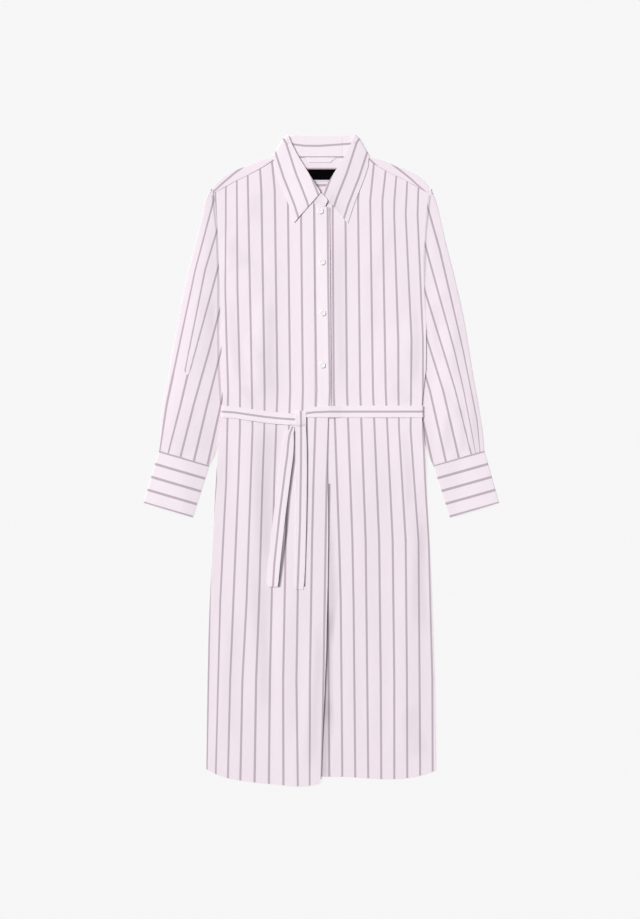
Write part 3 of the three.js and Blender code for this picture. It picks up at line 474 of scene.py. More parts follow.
# %% Crease tables, in millimetres
BODY_CREASES = [
    # both ends of the shaded flank, its half width, rise of the ridge, painted shade
    (-100, 318, -96, 96, 15, 1.49, 0.050),
    (-183, 312, -136, 124, 15, 1.12, 0.035),
    (-131, 238, -114, 180, 9, 0.62, 0.030),
    (-168, 420, -148, 352, 14, 0.99, 0.040),
    (-152, 146, -124, 98, 9, 0.74, 0.045),
    (-128, 500, -118, 440, 14, 0.62, 0.025),
    (-150, 392, -92, 312, 15, 0.5, 0.020),
    (-96, 112, -106, -225, 21, 1.86, 0.085),
    (-108, -170, -106, -500, 17, 0.99, 0.055),
    (-180, 60, -186, -120, 14, 0.56, 0.015),
    (-164, -260, -170, -540, 16, 0.56, 0.018),
    (-56, -240, -62, -540, 15, 0.56, 0.018),
    (-6, -280, -16, -592, 11, 0.99, 0.055),
    (36, 452, 33, 100, 13, 0.93, 0.045),
    (92, 400, 98, 240, 14, 0.5, 0.010),
    (126, 450, 118, 330, 14, 0.56, 0.015),
    (172, 292, 178, 132, 8, 0.62, 0.045),
    (134, 150, 160, 98, 14, 0.45, 0.030),
    (56, 76, 66, -120, 10, 0.35, 0.015),
    (98, 70, 112, -110, 12, 0.3, 0.010),
    (154, 64, 162, -100, 7, 0.5, 0.040),
    (182, -90, 184, -330, 14, 0.93, 0.050),
    (170, -440, 172, -560, 20, 0.74, 0.040),
    (62, -190, 66, -560, 14, 0.3, 0.012),
    (112, -230, 110, -560, 15, 0.3, 0.012),
]
SLEEVE_CREASES = [
    (208, 438, 222, 330, 9, 0.5, 0.020),
    (206, 306, 218, 176, 9, 0.62, 0.045),
    (236, 320, 214, 236, 9, 0.43, 0.020),
    (216, 214, 252, 150, 9, 0.5, 0.025),
    (218, 150, 258, 72, 9, 0.5, 0.025),
    (236, 12, 232, 92, 7, 0.56, 0.040),
    (264, 8, 256, 118, 8, 0.56, 0.030),
    (288, 20, 276, 140, 7, 0.43, 0.025),
    (256, 260, 246, 170, 9, 0.37, 0.015),
]
PLEAT_SHADOW = [
    (15.0, -100, 14.0, -345, 9, 0.0, 0.16),
    (13.0, -260, 9.6, -500, 11, 0.0, 0.24),
    (8.0, -430, 3.0, -620, 10, 0.0, 0.24),
]
# Painted shade over the skirt, from just below the belt down.
SKIRT_SHADE = 0.045


def crease_field(creases, x, y):
    """Height and shade that a table of creases gives at each point."""
    height, shade = np.zeros(len(x)), np.zeros(len(x))
    for x0, y0, x1, y1, half, rise, dark in creases:
        dx, dy = (x1 - x0) * MM, (y1 - y0) * MM
        length = math.hypot(dx, dy)
        run = ((x - x0 * MM) * dx + (y - y0 * MM) * dy) / length**2
        right = -1 if dy > 0 else 1
        off = right * ((y - y0 * MM) * dx - (x - x0 * MM) * dy) / length / (half * MM)
        off = off * (1 + 0.25 * np.sin(run * 4.3 + x0)) + 0.25 * np.sin(run * 6.1 + y0)
        ends = np.clip(run * 4, 0, 1) * np.clip((1 - run) * 4, 0, 1)
        ends = ends * ends * (3 - 2 * ends)
        height += rise * MM * np.clip(1 - ((off + 1) / 2.2) ** 2, 0, 1) ** 2 * ends
        shade += dark * np.clip(1 - off**2 / 1.4, 0, 1) * ends
    return height, shade


def fade(value, start, end):
    share = np.clip((value - start) / (end - start), 0, 1)
    return share * share * (3 - 2 * share)


BODY_SIDE_Y = np.array([-600, -425, -277, -148, -52, 26, 78, 104, 170, 237, 333, 422, 500]) * MM
BODY_SIDE_X = np.array([212, 211, 206, 200.5, 195, 191, 183.5, 183.5, 188, 189, 188.5, 191.8, 199]) * MM


def from_side(at):
    return np.interp(at[:, 1], BODY_SIDE_Y, BODY_SIDE_X) - np.abs(at[:, 0])


def body_creases(at):
    """Height that the creases add to everything on the body, above the back."""
    calm = fade(from_side(at), 0, 22 * MM) * fade(np.abs(at[:, 1] - 90 * MM), 15 * MM, 42 * MM)
    calm *= fade(at[:, 1], -604 * MM, -560 * MM) * 0.7 + 0.3
    return crease_field(BODY_CREASES, at[:, 0], at[:, 1])[0] * calm


def body_shade(at, extra=()):
    shade = crease_field(BODY_CREASES, at[:, 0], at[:, 1])[1]
    shade += SKIRT_SHADE * (1 - fade(at[:, 1], -120 * MM, 75 * MM))
    for shadows in extra:
        shade += crease_field(shadows, at[:, 0], at[:, 1])[1]
    return np.clip(shade, 0, 0.6)


def left_front_shade(at):
    return body_shade(at, [PLEAT_SHADOW])


def sleeve_creases(at):
    upper = fade(at[:, 2], 1.0 * MM, 1.3 * MM)
    beside = fade(-from_side(at), 4 * MM, 20 * MM)
    return crease_field(SLEEVE_CREASES, np.abs(at[:, 0]), at[:, 1])[0] * upper * beside


def sleeve_shade(at):
    near_cuff = 0.025 * (1 - fade(at[:, 1], 20 * MM, 110 * MM))
    near_body = 0.035 * (1 - fade(-from_side(at), 4 * MM, 30 * MM))
    return crease_field(SLEEVE_CREASES, np.abs(at[:, 0]), at[:, 1])[1] + near_cuff + near_body


print("creases:", len(BODY_CREASES), "on the body,", len(SLEEVE_CREASES), "on each sleeve")

# %% [markdown]
# ## Where the stripes run
# On the fronts the stripes hang down from the shoulders, and the folds push them a little aside.
# A weave keeps its stripes evenly apart, so only some of them are given, as guides: each is a
# short list of points measured on the photograph, to the nearest millimetre, and the stripes
# between two guides are spaced evenly. U is then the number of the stripe times the repeat.

# %% Guide stripes: number of the stripe, then its points as height and place, in millimetres
RIGHT_GUIDES = {
    # from the side seam to the edge of the placket
    0: [(560, -199), (407, -192), (315, -192), (222, -199), (-37, -194), (-148, -204), (-600, -212)],
    1: [(560, -176), (315, -178), (130, -172), (-37, -176), (-259, -187), (-600, -196)],
    3: [(560, -137), (222, -130), (56, -127), (-259, -138), (-407, -146), (-600, -150)],
    5: [(560, -92), (500, -86), (130, -81), (-37, -87), (-407, -95), (-600, -97)],
    7: [(560, -41), (500, -38), (130, -34), (-148, -42), (-407, -46), (-600, -43)],
    9: [(560, 11), (315, 13), (130, 16), (-37, 10), (-148, 8), (-407, 4), (-600, 0)],
}
LEFT_GUIDES = {
    # from the placket to the side seam
    0: [(560, 24), (455, 21), (130, 23), (-148, 33), (-259, 36), (-600, 39)],
    2: [(560, 75), (480, 68), (130, 72), (-148, 82), (-600, 87)],
    4: [(560, 122), (480, 113), (130, 119), (-148, 132), (-407, 135), (-600, 135)],
    6: [(560, 161), (455, 156), (222, 167), (56, 165), (-148, 180), (-600, 183)],
    8: [(560, 202), (455, 200), (222, 209), (-37, 212), (-407, 229), (-600, 229)],
}
RIGHT_SLEEVE_GUIDES = {
    # from the outer fold inwards; the second and the third one meet in a pleat
    0: [(481, -199), (352, -233), (102, -286), (-12, -303)],
    1: [(481, -176), (352, -215), (167, -251), (158, -247), (102, -260), (-12, -290)],
    2: [(481, -152), (352, -192), (167, -243), (158, -247), (102, -260), (-12, -290)],
    3: [(481, -127), (352, -168), (204, -207), (102, -236), (-12, -265)],
    5: [(481, -79), (204, -163), (102, -186), (-12, -211)],
}
LEFT_SLEEVE_GUIDES = {
    0: [(481, 193), (389, 219), (204, 262), (74, 288), (-12, 296)],
    1: [(481, 169), (204, 246), (130, 263), (-12, 290)],
    2: [(481, 145), (315, 191), (130, 248), (-12, 284)],
    3: [(481, 121), (315, 167), (130, 225), (-12, 258)],
    5: [(481, 73), (204, 155), (130, 176), (-12, 207)],
}
MERGED = 0.5 * MM


def stripe_number(guides, x, y):
    """Counts the stripes at each point, evenly between two guides and on past the outer ones."""
    numbers = sorted(guides)
    places = []
    for number in numbers:
        heights, across = zip(*reversed(guides[number]))
        places.append(np.interp(y, np.array(heights) * MM, np.array(across) * MM))
    onwards = np.sign(places[-1] - places[0])
    count = np.full(len(x), float(numbers[0]))
    last = len(numbers) - 2
    for k, (near, far) in enumerate(zip(places, places[1:])):
        gap = np.where(np.abs(far - near) < MERGED, 1e-6 * onwards, far - near)
        share = np.clip((x - near) / gap, -8 if k == 0 else 0, 8 if k == last else 1)
        count += share * (numbers[k + 1] - numbers[k])
    return count


def stripes_from(guides):
    return lambda at: (stripe_number(guides, at[:, 0], at[:, 1]) * STRIPE_REPEAT, at[:, 1])


def offset_from(line, at):
    """Distance of each point from a line of points, seen from above."""
    nearest = np.full(len(at), 1e9)
    for (x0, y0), (x1, y1) in zip(line, line[1:]):
        start, step = np.array([x0, y0]) * MM, np.array([x1 - x0, y1 - y0]) * MM
        share = np.clip(((at[:, :2] - start) @ step) / (step @ step), 0, 1)[:, None]
        nearest = np.minimum(nearest, np.linalg.norm(at[:, :2] - start - share * step, axis=1))
    return nearest


print("guide stripes:", len(RIGHT_GUIDES) + len(LEFT_GUIDES), "on the fronts")

# %% [markdown]
# ## Back and fronts
# These are the three largest pieces. The right front closes over the left one, and carries the
# button placket. Below the belt its edge is a deep pleat, folded under, which hangs a little open
# towards the hem, so the edge is moved sideways by a few millimetres there.

# %% Back and fronts
PLEAT_PLACES_Y = np.array([-600, -555, -480, -425, -351, -296, -185]) * MM
PLEAT_MOVES = np.array([0.5, 1.1, 2.4, 4.0, 3.5, 2.0, 0.0]) * MM


def straight_stripes(at):
    return at[:, 0], at[:, 1]


finish_cloth("back_cloth", cloth_mesh("back"), straight_stripes, COTTON, ["back"])

bm = cloth_mesh("right_front")
for v in bm.verts:
    share = min(max((v.co.x + 24 * MM) / (22 * MM), 0), 1)
    v.co.x += float(np.interp(v.co.y, PLEAT_PLACES_Y, PLEAT_MOVES)) * share
finish_cloth(
    "right_front_cloth", bm, stripes_from(RIGHT_GUIDES), RIGHT_COTTON, ["right_front"], body_creases, body_shade
)
finish_cloth(
    "left_front_cloth", cloth_mesh("left_front"), stripes_from(LEFT_GUIDES), LEFT_COTTON, ["left_front"],
    body_creases, left_front_shade,
)
finish_cloth(
    "placket_cloth", cloth_mesh("front_placket", cell=5 * MM), stripes_from(RIGHT_GUIDES), PLACKET_TRIM,
    ["front_placket"], body_creases,
)

# %% [markdown]
# The yoke is cut across the grain. Behind, its stripes run level, and in front they fall from the
# neck to the armhole, along the shoulder. Each row below gives two neighbouring stripes.

# %% Yoke
YOKE_FRONT = {
    # distance from the middle of the dress, then the heights of the outer and the inner stripe
    "right": [(82, 596, 557), (90, 589, 552.6), (103, 578, 543.4), (115, 567, 536), (135, 549, 526.5),
              (147, 540.5, 512), (159, 532.4, 500), (174, 519.6, 488), (187, 508, 478), (200, 496, 466)],
    "left": [(82, 589, 563), (91, 581.5, 555.4), (108, 567, 538.6), (120.5, 556.5, 527.6), (133, 545.9, 517),
             (145, 536.9, 507), (157, 527.4, 498), (168, 518.2, 489), (178, 508.9, 480), (198, 491, 462)],
}
YOKE_BEHIND = [(480, -3), (508.6, -2), (539.3, -1), (560.6, 0), (584, 1)]


def yoke_stripes(at):
    heights, numbers = zip(*YOKE_BEHIND)
    behind = np.interp(at[:, 1], np.array(heights) * MM, numbers)
    front = np.zeros(len(at))
    for side, on_side in (("right", at[:, 0] < 0), ("left", at[:, 0] > 0)):
        out, outer, inner = (np.array(column) * MM for column in zip(*YOKE_FRONT[side]))
        high, low = np.interp(np.abs(at[:, 0]), out, outer), np.interp(np.abs(at[:, 0]), out, inner)
        front = np.where(on_side, (at[:, 1] - high) / (high - low), front)
    in_front = (at[:, 2] > 1.25 * MM + 0.9 * MM * (np.abs(at[:, 0]) < 140 * MM)) & (np.abs(at[:, 0]) > 82 * MM)
    return np.where(in_front, front, behind) * STRIPE_REPEAT, at[:, 0]


finish_cloth("yoke_cloth", cloth_mesh("yoke", softness=10), yoke_stripes, COTTON, ["yoke"])

# %% [markdown]
# ## Sleeves and cuffs
# Each sleeve is a tube pressed flat, folded along its outer side. Its stripes follow that fold, and
# near the cuff the cloth is laid in a pleat, where one stripe runs into its neighbour. The cuffs are
# doubled and cut across, so their stripes cross the arm.

# %% Sleeves and cuffs
CUFF_OUTER_EDGE = {
    # from the sleeve to the wrist
    "right": (-300.3, 18.0, -328.6, -78.7),
    "left": (301.4, 18.0, 328.6, -78.7),
}
CUFF_FIRST_STRIPE = 1.0 * MM
CUFF_REPEAT = 24.85 * MM
SLEEVES = {"right": RIGHT_SLEEVE_GUIDES, "left": LEFT_SLEEVE_GUIDES}


def cuff_stripes(side):
    x0, y0, x1, y1 = (value * MM for value in CUFF_OUTER_EDGE[side])
    length = math.hypot(x1 - x0, y1 - y0)

    def place(at):
        down = ((at[:, 0] - x0) * (x1 - x0) + (at[:, 1] - y0) * (y1 - y0)) / length
        across = ((at[:, 0] - x0) * (y1 - y0) - (at[:, 1] - y0) * (x1 - x0)) / length
        return (down - CUFF_FIRST_STRIPE) * STRIPE_REPEAT / CUFF_REPEAT, across

    return place


def cuff_shade(at):
    return 0.015 + 0.05 * (1 - fade(np.abs(at[:, 0]), 240 * MM, 268 * MM))


for side, stripes in SLEEVES.items():
    finish_cloth(
        f"{side}_sleeve_cloth", cloth_mesh(f"{side}_sleeve", cell=5 * MM), stripes_from(stripes), SLEEVE_COTTON,
        [f"{side}_sleeve"], sleeve_creases, sleeve_shade,
    )
    finish_cloth(
        f"{side}_cuff_cloth", cloth_mesh(f"{side}_cuff", cell=6 * MM), cuff_stripes(side), CUFF_TRIM,
        [f"{side}_cuff"], None, cuff_shade,
    )

# %% [markdown]
# ## Collar
# A shirt collar has two parts: a stand round the neck, and the fall that turns down over it and
# ends in two points. The stripes of both run along their length, so in front they follow the
# outer edge of each point. The stand's front end is sewn down to the placket, so it thins out
# towards that seam.

# %% Collar
FALL_EDGE = [(-49, 437.4), (-59.2, 469.2), (-68.8, 494), (-78.3, 517.4), (-90.6, 555.2), (-96, 572)]
FALL_BACK_EDGE = [(-90.4, 562.6), (-45, 545), (-30, 541), (-14, 539.5), (0, 539)]
STAND_STRIPE = [(-60, 585.2), (-54, 584.6), (-31, 581.6), (-4, 581.4), (15, 582.6), (52, 585.3), (60, 585.8)]
STAND_SEAM = [(-14.2, 475.7), (-1.5, 471.2), (7.6, 470.4)]
LEAF_LOWER_EDGE = [(-49, 437.4), (-1.3, 495.1)]


def stand_stripes(at):
    places, heights = (np.array(column) * MM for column in zip(*STAND_STRIPE))
    inside = at[:, 1] - np.interp(at[:, 0], places, heights)
    return np.where(at[:, 1] > 548 * MM, inside, STRIPE_REPEAT / 2), at[:, 0]


def stand_shape(at):
    sewn = 1 - fade(offset_from(STAND_SEAM, at), 0, 5 * MM)
    return body_creases(at) - 0.85 * MM * sewn


def stand_shade(at):
    under_fall = 1 - fade(offset_from([(-16, 482), (-1, 496)], at), 3 * MM, 20 * MM)
    return 0.09 * under_fall


def fall_stripes(at):
    sides = at.copy()
    sides[:, 0] = -np.abs(sides[:, 0])
    leaf = offset_from(FALL_EDGE, sides) - 9.8 * MM
    behind = offset_from(FALL_BACK_EDGE, sides) - 9.8 * MM
    share = fade(at[:, 2], 1.5 * MM, 5.0 * MM)
    across = leaf * share + behind * (1 - share)
    on_fold = (at[:, 1] > 588 * MM) & (np.abs(at[:, 0]) < 62 * MM)
    return np.where(on_fold, STRIPE_REPEAT / 2, across), at[:, 1]


def fall_shade(at):
    return 0.03 * fade(at[:, 0], -10 * MM, 20 * MM)


bm = cloth_mesh("collar_stand", cell=3.5 * MM, softness=12)
for v in bm.verts:
    if v.co.y < 482 * MM and v.co.x < 9 * MM:
        near = 1 - fade(offset_from(STAND_SEAM, np.array([v.co])), 0.5 * MM, 6 * MM)[0]
        v.co.y -= 1.2 * MM * near
finish_cloth(
    "collar_stand_cloth", bm, stand_stripes, STAND_TRIM, ["collar_stand"], stand_shape, stand_shade,
)

bm = cloth_mesh("collar_fall", cell=4 * MM, softness=16)
for v in bm.verts:
    if v.co.x < 0:
        near = 1 - fade(offset_from(LEAF_LOWER_EDGE, np.array([v.co])), 0, 14 * MM)[0]
        near *= 1 - fade(v.co.y, 440 * MM, 490 * MM)
        v.co.x -= 1.5 * MM * near
        v.co.y += 1.2 * MM * near
finish_cloth(
    "collar_fall_cloth", bm, fall_stripes, TRIM, ["collar_fall"], body_creases, fall_shade,
)

# %% [markdown]
# ## Belt
# A long doubled strip goes once round the waist and is knotted in front, to one side. Its single
# stripe runs down the middle. The knot pulls the strip tight, so the knot is shorter than its
# solid, has two folds pinched into it, and runs down smoothly into the tail that hangs from it.

# %% Belt
BELT_LINE_X = np.array([-185, -160, -135, -109, -80, -62, -46, -37, -27, -14, 16, 185]) * MM
BELT_LINE_Y = np.array([90, 88.2, 84.6, 80.8, 77.6, 76.2, 75.3, 80, 86.8, 88.6, 89.8, 89.9]) * MM
FRONT_TAIL_Y = np.array([-239, -222, -166, -111, -55, 0, 56, 101]) * MM
FRONT_TAIL_X = np.array([-44.0, -43.2, -41.1, -39.2, -38.3, -37.4, -37.4, -37.9]) * MM
TAIL_EDGE_Y = np.array([-226, -190, -150, -111, -18, 30, 62]) * MM
TAIL_EDGE_MOVE = np.array([-1.6, -1.8, -2.6, -3.0, -2.8, -1.7, -1.4]) * MM
UNDER_TAIL_Y = np.array([-234, -190, -100, -18, 8, 33, 48, 63]) * MM
UNDER_TAIL_X = np.array([-89.4, -86.7, -77.1, -66.7, -63, -60.8, -58.5, -52.6]) * MM
KNOT_LEFT, KNOT_RIGHT = -48.2 * MM, -26.6 * MM
KNOT_TOP, KNOT_END = 101 * MM, 63 * MM
KNOT_LENGTH = 28.5 * MM
KNOT_DROP = 0.72 * MM
PINCHES = [(-44, 92, -42, 66, 2.4, 0.30), (-33, 92, -31, 66, 2.2, 0.30)]


def round_stripes(at):
    middle = np.interp(at[:, 0], BELT_LINE_X, BELT_LINE_Y)
    middle = np.where(at[:, 2] > 3.2 * MM, middle, 90 * MM)
    return at[:, 1] - middle, at[:, 0]


def tail_stripes(heights, places):
    return lambda at: (at[:, 0] - np.interp(at[:, 1], heights, places), at[:, 1])


def knot_shape(at):
    across = (at[:, 0] - KNOT_LEFT) / (KNOT_RIGHT - KNOT_LEFT) * 2 - 1
    upper = at[:, 2] > at[:, 2].min() + 1.3 * MM
    ridge = 0.35 * MM * (1 - across**2) - 0.1 * MM
    for x0, y0, x1, y1, half, depth in PINCHES:
        line = np.interp(at[:, 1], np.array([y1, y0]) * MM, np.array([x1, x0]) * MM)
        ridge -= depth * MM * np.clip(1 - ((at[:, 0] - line) / (half * MM)) ** 2, 0, 1)
    onto_tail = 1 - fade(at[:, 1], KNOT_END, KNOT_END + 4.5 * MM)
    return np.where(upper, ridge * (1 - onto_tail), 0) - KNOT_DROP - 1.12 * MM * onto_tail


def tail_shade(at):
    return np.full(len(at), 0.03)


def move_right_edge(bm):
    """The front tail is a little narrower than its solid, on its right side."""
    for v in bm.verts:
        share = min(max((v.co.x + 47.8 * MM) / (23 * MM), 0), 1)
        v.co.x += float(np.interp(v.co.y, TAIL_EDGE_Y, TAIL_EDGE_MOVE)) * share


for name, heights, places in (
    ("belt_tail_front", FRONT_TAIL_Y, FRONT_TAIL_X),
    ("belt_tail_under", UNDER_TAIL_Y, UNDER_TAIL_X),
):
    bm = cloth_mesh(name, cell=4 * MM, softness=8)
    if name == "belt_tail_front":
        move_right_edge(bm)
    finish_cloth(
        f"{name}_cloth", bm, tail_stripes(heights, places), TRIM, [name], body_creases, tail_shade
    )
finish_cloth(
    "belt_round_cloth", cloth_mesh("belt_round", cell=4 * MM, softness=8), round_stripes, TRIM, ["belt_round"],
    body_creases,
)
bm = cloth_mesh("belt_knot", cell=2.5 * MM, softness=4)
for v in bm.verts:
    v.co.y = KNOT_END + (v.co.y - KNOT_END) * KNOT_LENGTH / (KNOT_TOP - KNOT_END)
move_right_edge(bm)
finish_cloth(
    "belt_knot_cloth", bm, tail_stripes(FRONT_TAIL_Y, FRONT_TAIL_X), TRIM, ["belt_knot"], knot_shape, tail_shade
)

# %% [markdown]
# ## Loop and label
# Inside the neck are a small hanging loop and a dark woven tab with a light lower edge. The tab is
# left plain.

# %% Loop and label
LABEL_EDGE_Y = 518.2 * MM
TAPE_DARK = (0.002, 0.0015, 0.002, 1)
TAPE_LIGHT = (0.86, 0.82, 0.85, 1)

tape, tape_tree, tape_shader = new_material("dark_tape")
tape_shader.inputs["Roughness"].default_value = 0.9
tape_shader.inputs["Specular IOR Level"].default_value = 0.02
tape_uv = tape_tree.nodes.new("ShaderNodeUVMap")
tape_uv.uv_map = "cloth"
tape_split = tape_tree.nodes.new("ShaderNodeSeparateXYZ")
tape_tree.links.new(tape_uv.outputs[0], tape_split.inputs[0])
below_edge = math_node(tape_tree, "LESS_THAN", tape_split.outputs["Y"], LABEL_EDGE_Y)
tape_colour = mix_colour(tape_tree, TAPE_DARK, TAPE_LIGHT, below_edge)
tape_tree.links.new(tape_colour, tape_shader.inputs["Base Color"])
tape_weave = tape_tree.nodes.new("ShaderNodeGroup")
tape_weave.node_tree = STRIPES
tape_tree.links.new(tape_uv.outputs[0], tape_weave.inputs["Cloth"])
tape_bump = tape_tree.nodes.new("ShaderNodeBump")
tape_bump.inputs["Distance"].default_value = 0.08 * MM
tape_tree.links.new(tape_weave.outputs["Weave"], tape_bump.inputs["Height"])
tape_tree.links.new(tape_bump.outputs["Normal"], tape_shader.inputs["Normal"])


def no_stripes(at):
    return np.full(len(at), STRIPE_REPEAT / 2), at[:, 0]


finish_cloth(
    "neck_loop_cloth", cloth_mesh("neck_loop", cell=3 * MM, softness=0), no_stripes, TRIM, ["neck_loop"]
)
finish_cloth(
    "neck_label_cloth", cloth_mesh("neck_label", cell=3 * MM, softness=0), straight_stripes, tape,
    ["neck_label"],
)

# %% [markdown]
# ## Buttons
# Four shirt buttons close the front. Such a button is turned from a pearly plastic, with a rounded
# rim, a shallow dish and four holes, and thread crosses the dish between the holes. The dish is a
# grid pressed into a round, four of whose cells are sunk to make the holes. Its border is then
# extruded outwards and down, ring by ring, to make the rim.

# %% Buttons
BUTTON_RINGS = [
    # radius and height above the dish, from the dish to the underside
    (3.5, 0.05), (4.0, 0.42), (4.5, 0.62), (5.05, 0.58), (5.4, 0.2), (5.5, -0.35), (5.1, -0.8), (3.6, -1.05),
]
DISH_RADIUS = 2.9 * MM
DISH_CELLS = 6
HOLE_NEAR, HOLE_FAR = 1.2, 4
HOLE_BORDER = 0.08 * MM
HOLE_DEPTH = 0.8 * MM
DISH_HEIGHT = 1.5 * MM


def pearl_material():
    material, tree, shader = new_material("pearly_plastic")
    shader.inputs["Roughness"].default_value = 0.22
    shader.inputs["Coat Weight"].default_value = 0.5
    shader.inputs["Coat Roughness"].default_value = 0.08
    place = tree.nodes.new("ShaderNodeTexCoord")
    stretch = tree.nodes.new("ShaderNodeMapping")
    stretch.inputs["Scale"].default_value = (160, 420, 300)
    tree.links.new(place.outputs["Object"], stretch.inputs["Vector"])
    cloud = tree.nodes.new("ShaderNodeTexNoise")
    cloud.inputs["Scale"].default_value = 1.0
    cloud.inputs["Distortion"].default_value = 1.2
    tree.links.new(stretch.outputs[0], cloud.inputs["Vector"])
    shine = mix_colour(tree, (0.98, 0.955, 0.97, 1), (0.90, 0.885, 0.90, 1), cloud.outputs["Fac"])
    tree.links.new(shine, shader.inputs["Base Color"])
    return material


def thread_material():
    material, tree, shader = new_material("sewing_thread")
    shader.inputs["Roughness"].default_value = 0.7
    shader.inputs["Sheen Weight"].default_value = 0.15
    place = tree.nodes.new("ShaderNodeTexCoord")
    ply = tree.nodes.new("ShaderNodeTexWave")
    ply.bands_direction = "DIAGONAL"
    ply.inputs["Scale"].default_value = 900.0
    tree.links.new(place.outputs["Object"], ply.inputs["Vector"])
    tint = mix_colour(tree, (0.90, 0.80, 0.86, 1), (0.82, 0.71, 0.78, 1), ply.outputs["Fac"])
    tree.links.new(tint, shader.inputs["Base Color"])
    return material


PEARL = pearl_material()
THREAD_PAINT = thread_material()


def press_round(v):
    reach = max(abs(v.co.x), abs(v.co.y))
    away = math.hypot(v.co.x, v.co.y)
    if away > 0:
        v.co.x, v.co.y = v.co.x * reach / away, v.co.y * reach / away


def button_mesh():
    bm = bmesh.new()
    bmesh.ops.create_grid(bm, x_segments=DISH_CELLS, y_segments=DISH_CELLS, size=DISH_RADIUS)
    for v in bm.verts:
        press_round(v)
    step = DISH_RADIUS / DISH_CELLS
    holes = [
        f for f in bm.faces
        if HOLE_NEAR * step < abs(f.calc_center_median().x) < HOLE_FAR * step
        and HOLE_NEAR * step < abs(f.calc_center_median().y) < HOLE_FAR * step
    ]
    bmesh.ops.inset_individual(bm, faces=holes, thickness=HOLE_BORDER)
    deep = bmesh.ops.extrude_discrete_faces(bm, faces=holes)["faces"]
    bmesh.ops.translate(bm, verts=list({v for f in deep for v in f.verts}), vec=(0, 0, -HOLE_DEPTH))
    rim = [e for e in bm.edges if e.is_boundary and min(v.co.z for v in e.verts) > -0.1 * MM]
    rim = [e for e in rim if math.hypot(*e.verts[0].co.xy) > DISH_RADIUS * 0.95]
    reached = DISH_RADIUS
    for radius, height in BUTTON_RINGS:
        grown = bmesh.ops.extrude_edge_only(bm, edges=rim)["geom"]
        ring = [g for g in grown if isinstance(g, bmesh.types.BMVert)]
        rim = [g for g in grown if isinstance(g, bmesh.types.BMEdge) and g.is_boundary]
        for v in ring:
            v.co.x *= radius * MM / reached
            v.co.y *= radius * MM / reached
            v.co.z = height * MM
        reached = radius * MM
    bmesh.ops.edgenet_fill(bm, edges=rim)
    bmesh.ops.recalc_face_normals(bm, faces=bm.faces)
    return bm


THREAD_PLACES = (-1.32, -0.98, 0.98, 1.32)


def button_threads(bm, x, y, z):
    """Two pairs of threads across the dish, each from one hole to the next."""
    for part in THREAD_PLACES:
        made = bmesh.ops.create_icosphere(bm, subdivisions=2, radius=1.0)["verts"]
        bmesh.ops.scale(bm, verts=made, vec=(1.75 * MM, 0.24 * MM, 0.34 * MM))
        bmesh.ops.translate(bm, verts=made, vec=(x, y + part * MM, z + 0.02 * MM))


def place_piece(name, bm, material, nodes=()):
    mesh = bpy.data.meshes.new(name)
    bm.to_mesh(mesh)
    bm.free()
    for face in mesh.polygons:
        face.use_smooth = True
    mesh.materials.append(material)
    piece = bpy.data.objects.new(name, mesh)
    bpy.context.scene.collection.objects.link(piece)
    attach(piece, "root")
    if nodes:
        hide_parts(*nodes)
    return piece


thread_bm = bmesh.new()
button_places = []
for number in range(1, 5):
    low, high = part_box(f"button_{number}")
    x, y = (low[0] + high[0]) / 2, (low[1] + high[1]) / 2
    z = low[2] + DISH_HEIGHT + float(body_creases(np.array([[x, y, low[2]]]))[0])
    button_places.append((x, y, z))
    bm = button_mesh()
    bmesh.ops.translate(bm, verts=bm.verts, vec=(x, y, z))
    button = place_piece(f"button_{number}_pearl", bm, PEARL, [f"button_{number}"])
    rounding = button.modifiers.new("rounding", "SUBSURF")
    rounding.levels = rounding.render_levels = 2
    button_threads(thread_bm, x, y, z)
place_piece("button_threads", thread_bm, THREAD_PAINT)
print("buttons:", len(button_places))

# %% [markdown]
# ## Stitching
# Shirts are sewn with small, even lockstitches a few millimetres inside their edges, and each
# buttonhole is bound with a dense row of threads. A stitch is a low-sided bead, laid along the
# cloth between two points that are found by looking straight down on the finished pieces.

# %% Stitching
from mathutils import Matrix, Vector
from mathutils.bvhtree import BVHTree

STITCH_PITCH = 3.0 * MM
STITCH_LENGTH = 2.3 * MM
STITCH_RADIUS = 0.2 * MM
BEAD_VERTICES = 12
LOOK_FROM = 0.1
DOWN = Vector((0, 0, -1))
COVER_GAP = 0.3 * MM

bpy.context.view_layer.update()
graph = bpy.context.evaluated_depsgraph_get()
sewn_pieces = [
    "right_front_cloth", "left_front_cloth", "placket_cloth", "yoke_cloth", "right_cuff_cloth",
    "left_cuff_cloth", "collar_fall_cloth", "collar_stand_cloth", "belt_round_cloth",
    "belt_tail_front_cloth", "belt_tail_under_cloth",
]
trees = {name: BVHTree.FromObject(bpy.data.objects[name], graph) for name in sewn_pieces}


def on_top(name, x, y):
    """The point of that piece's upper face above x and y, or None beside the piece."""
    hit = trees[name].ray_cast(Vector((x, y, LOOK_FROM)), DOWN)[0]
    if hit is None:
        return None
    others = [tree for key, tree in trees.items() if key != name]
    hidden = [tree.ray_cast(Vector((x, y, LOOK_FROM)), DOWN)[0] for tree in others]
    covered = any(other is not None and other.z > hit.z + COVER_GAP for other in hidden)
    return None if covered else hit


def add_stitch(bm, start, end, radius=STITCH_RADIUS):
    middle, along = (start + end) / 2, end - start
    turn = along.to_track_quat("X", "Z").to_matrix().to_4x4()
    size = Matrix.Diagonal((along.length / 2, radius, radius * 0.8, 1))
    placing = Matrix.Translation(middle) @ turn @ size
    bmesh.ops.create_icosphere(bm, subdivisions=1, radius=1.0, matrix=placing)


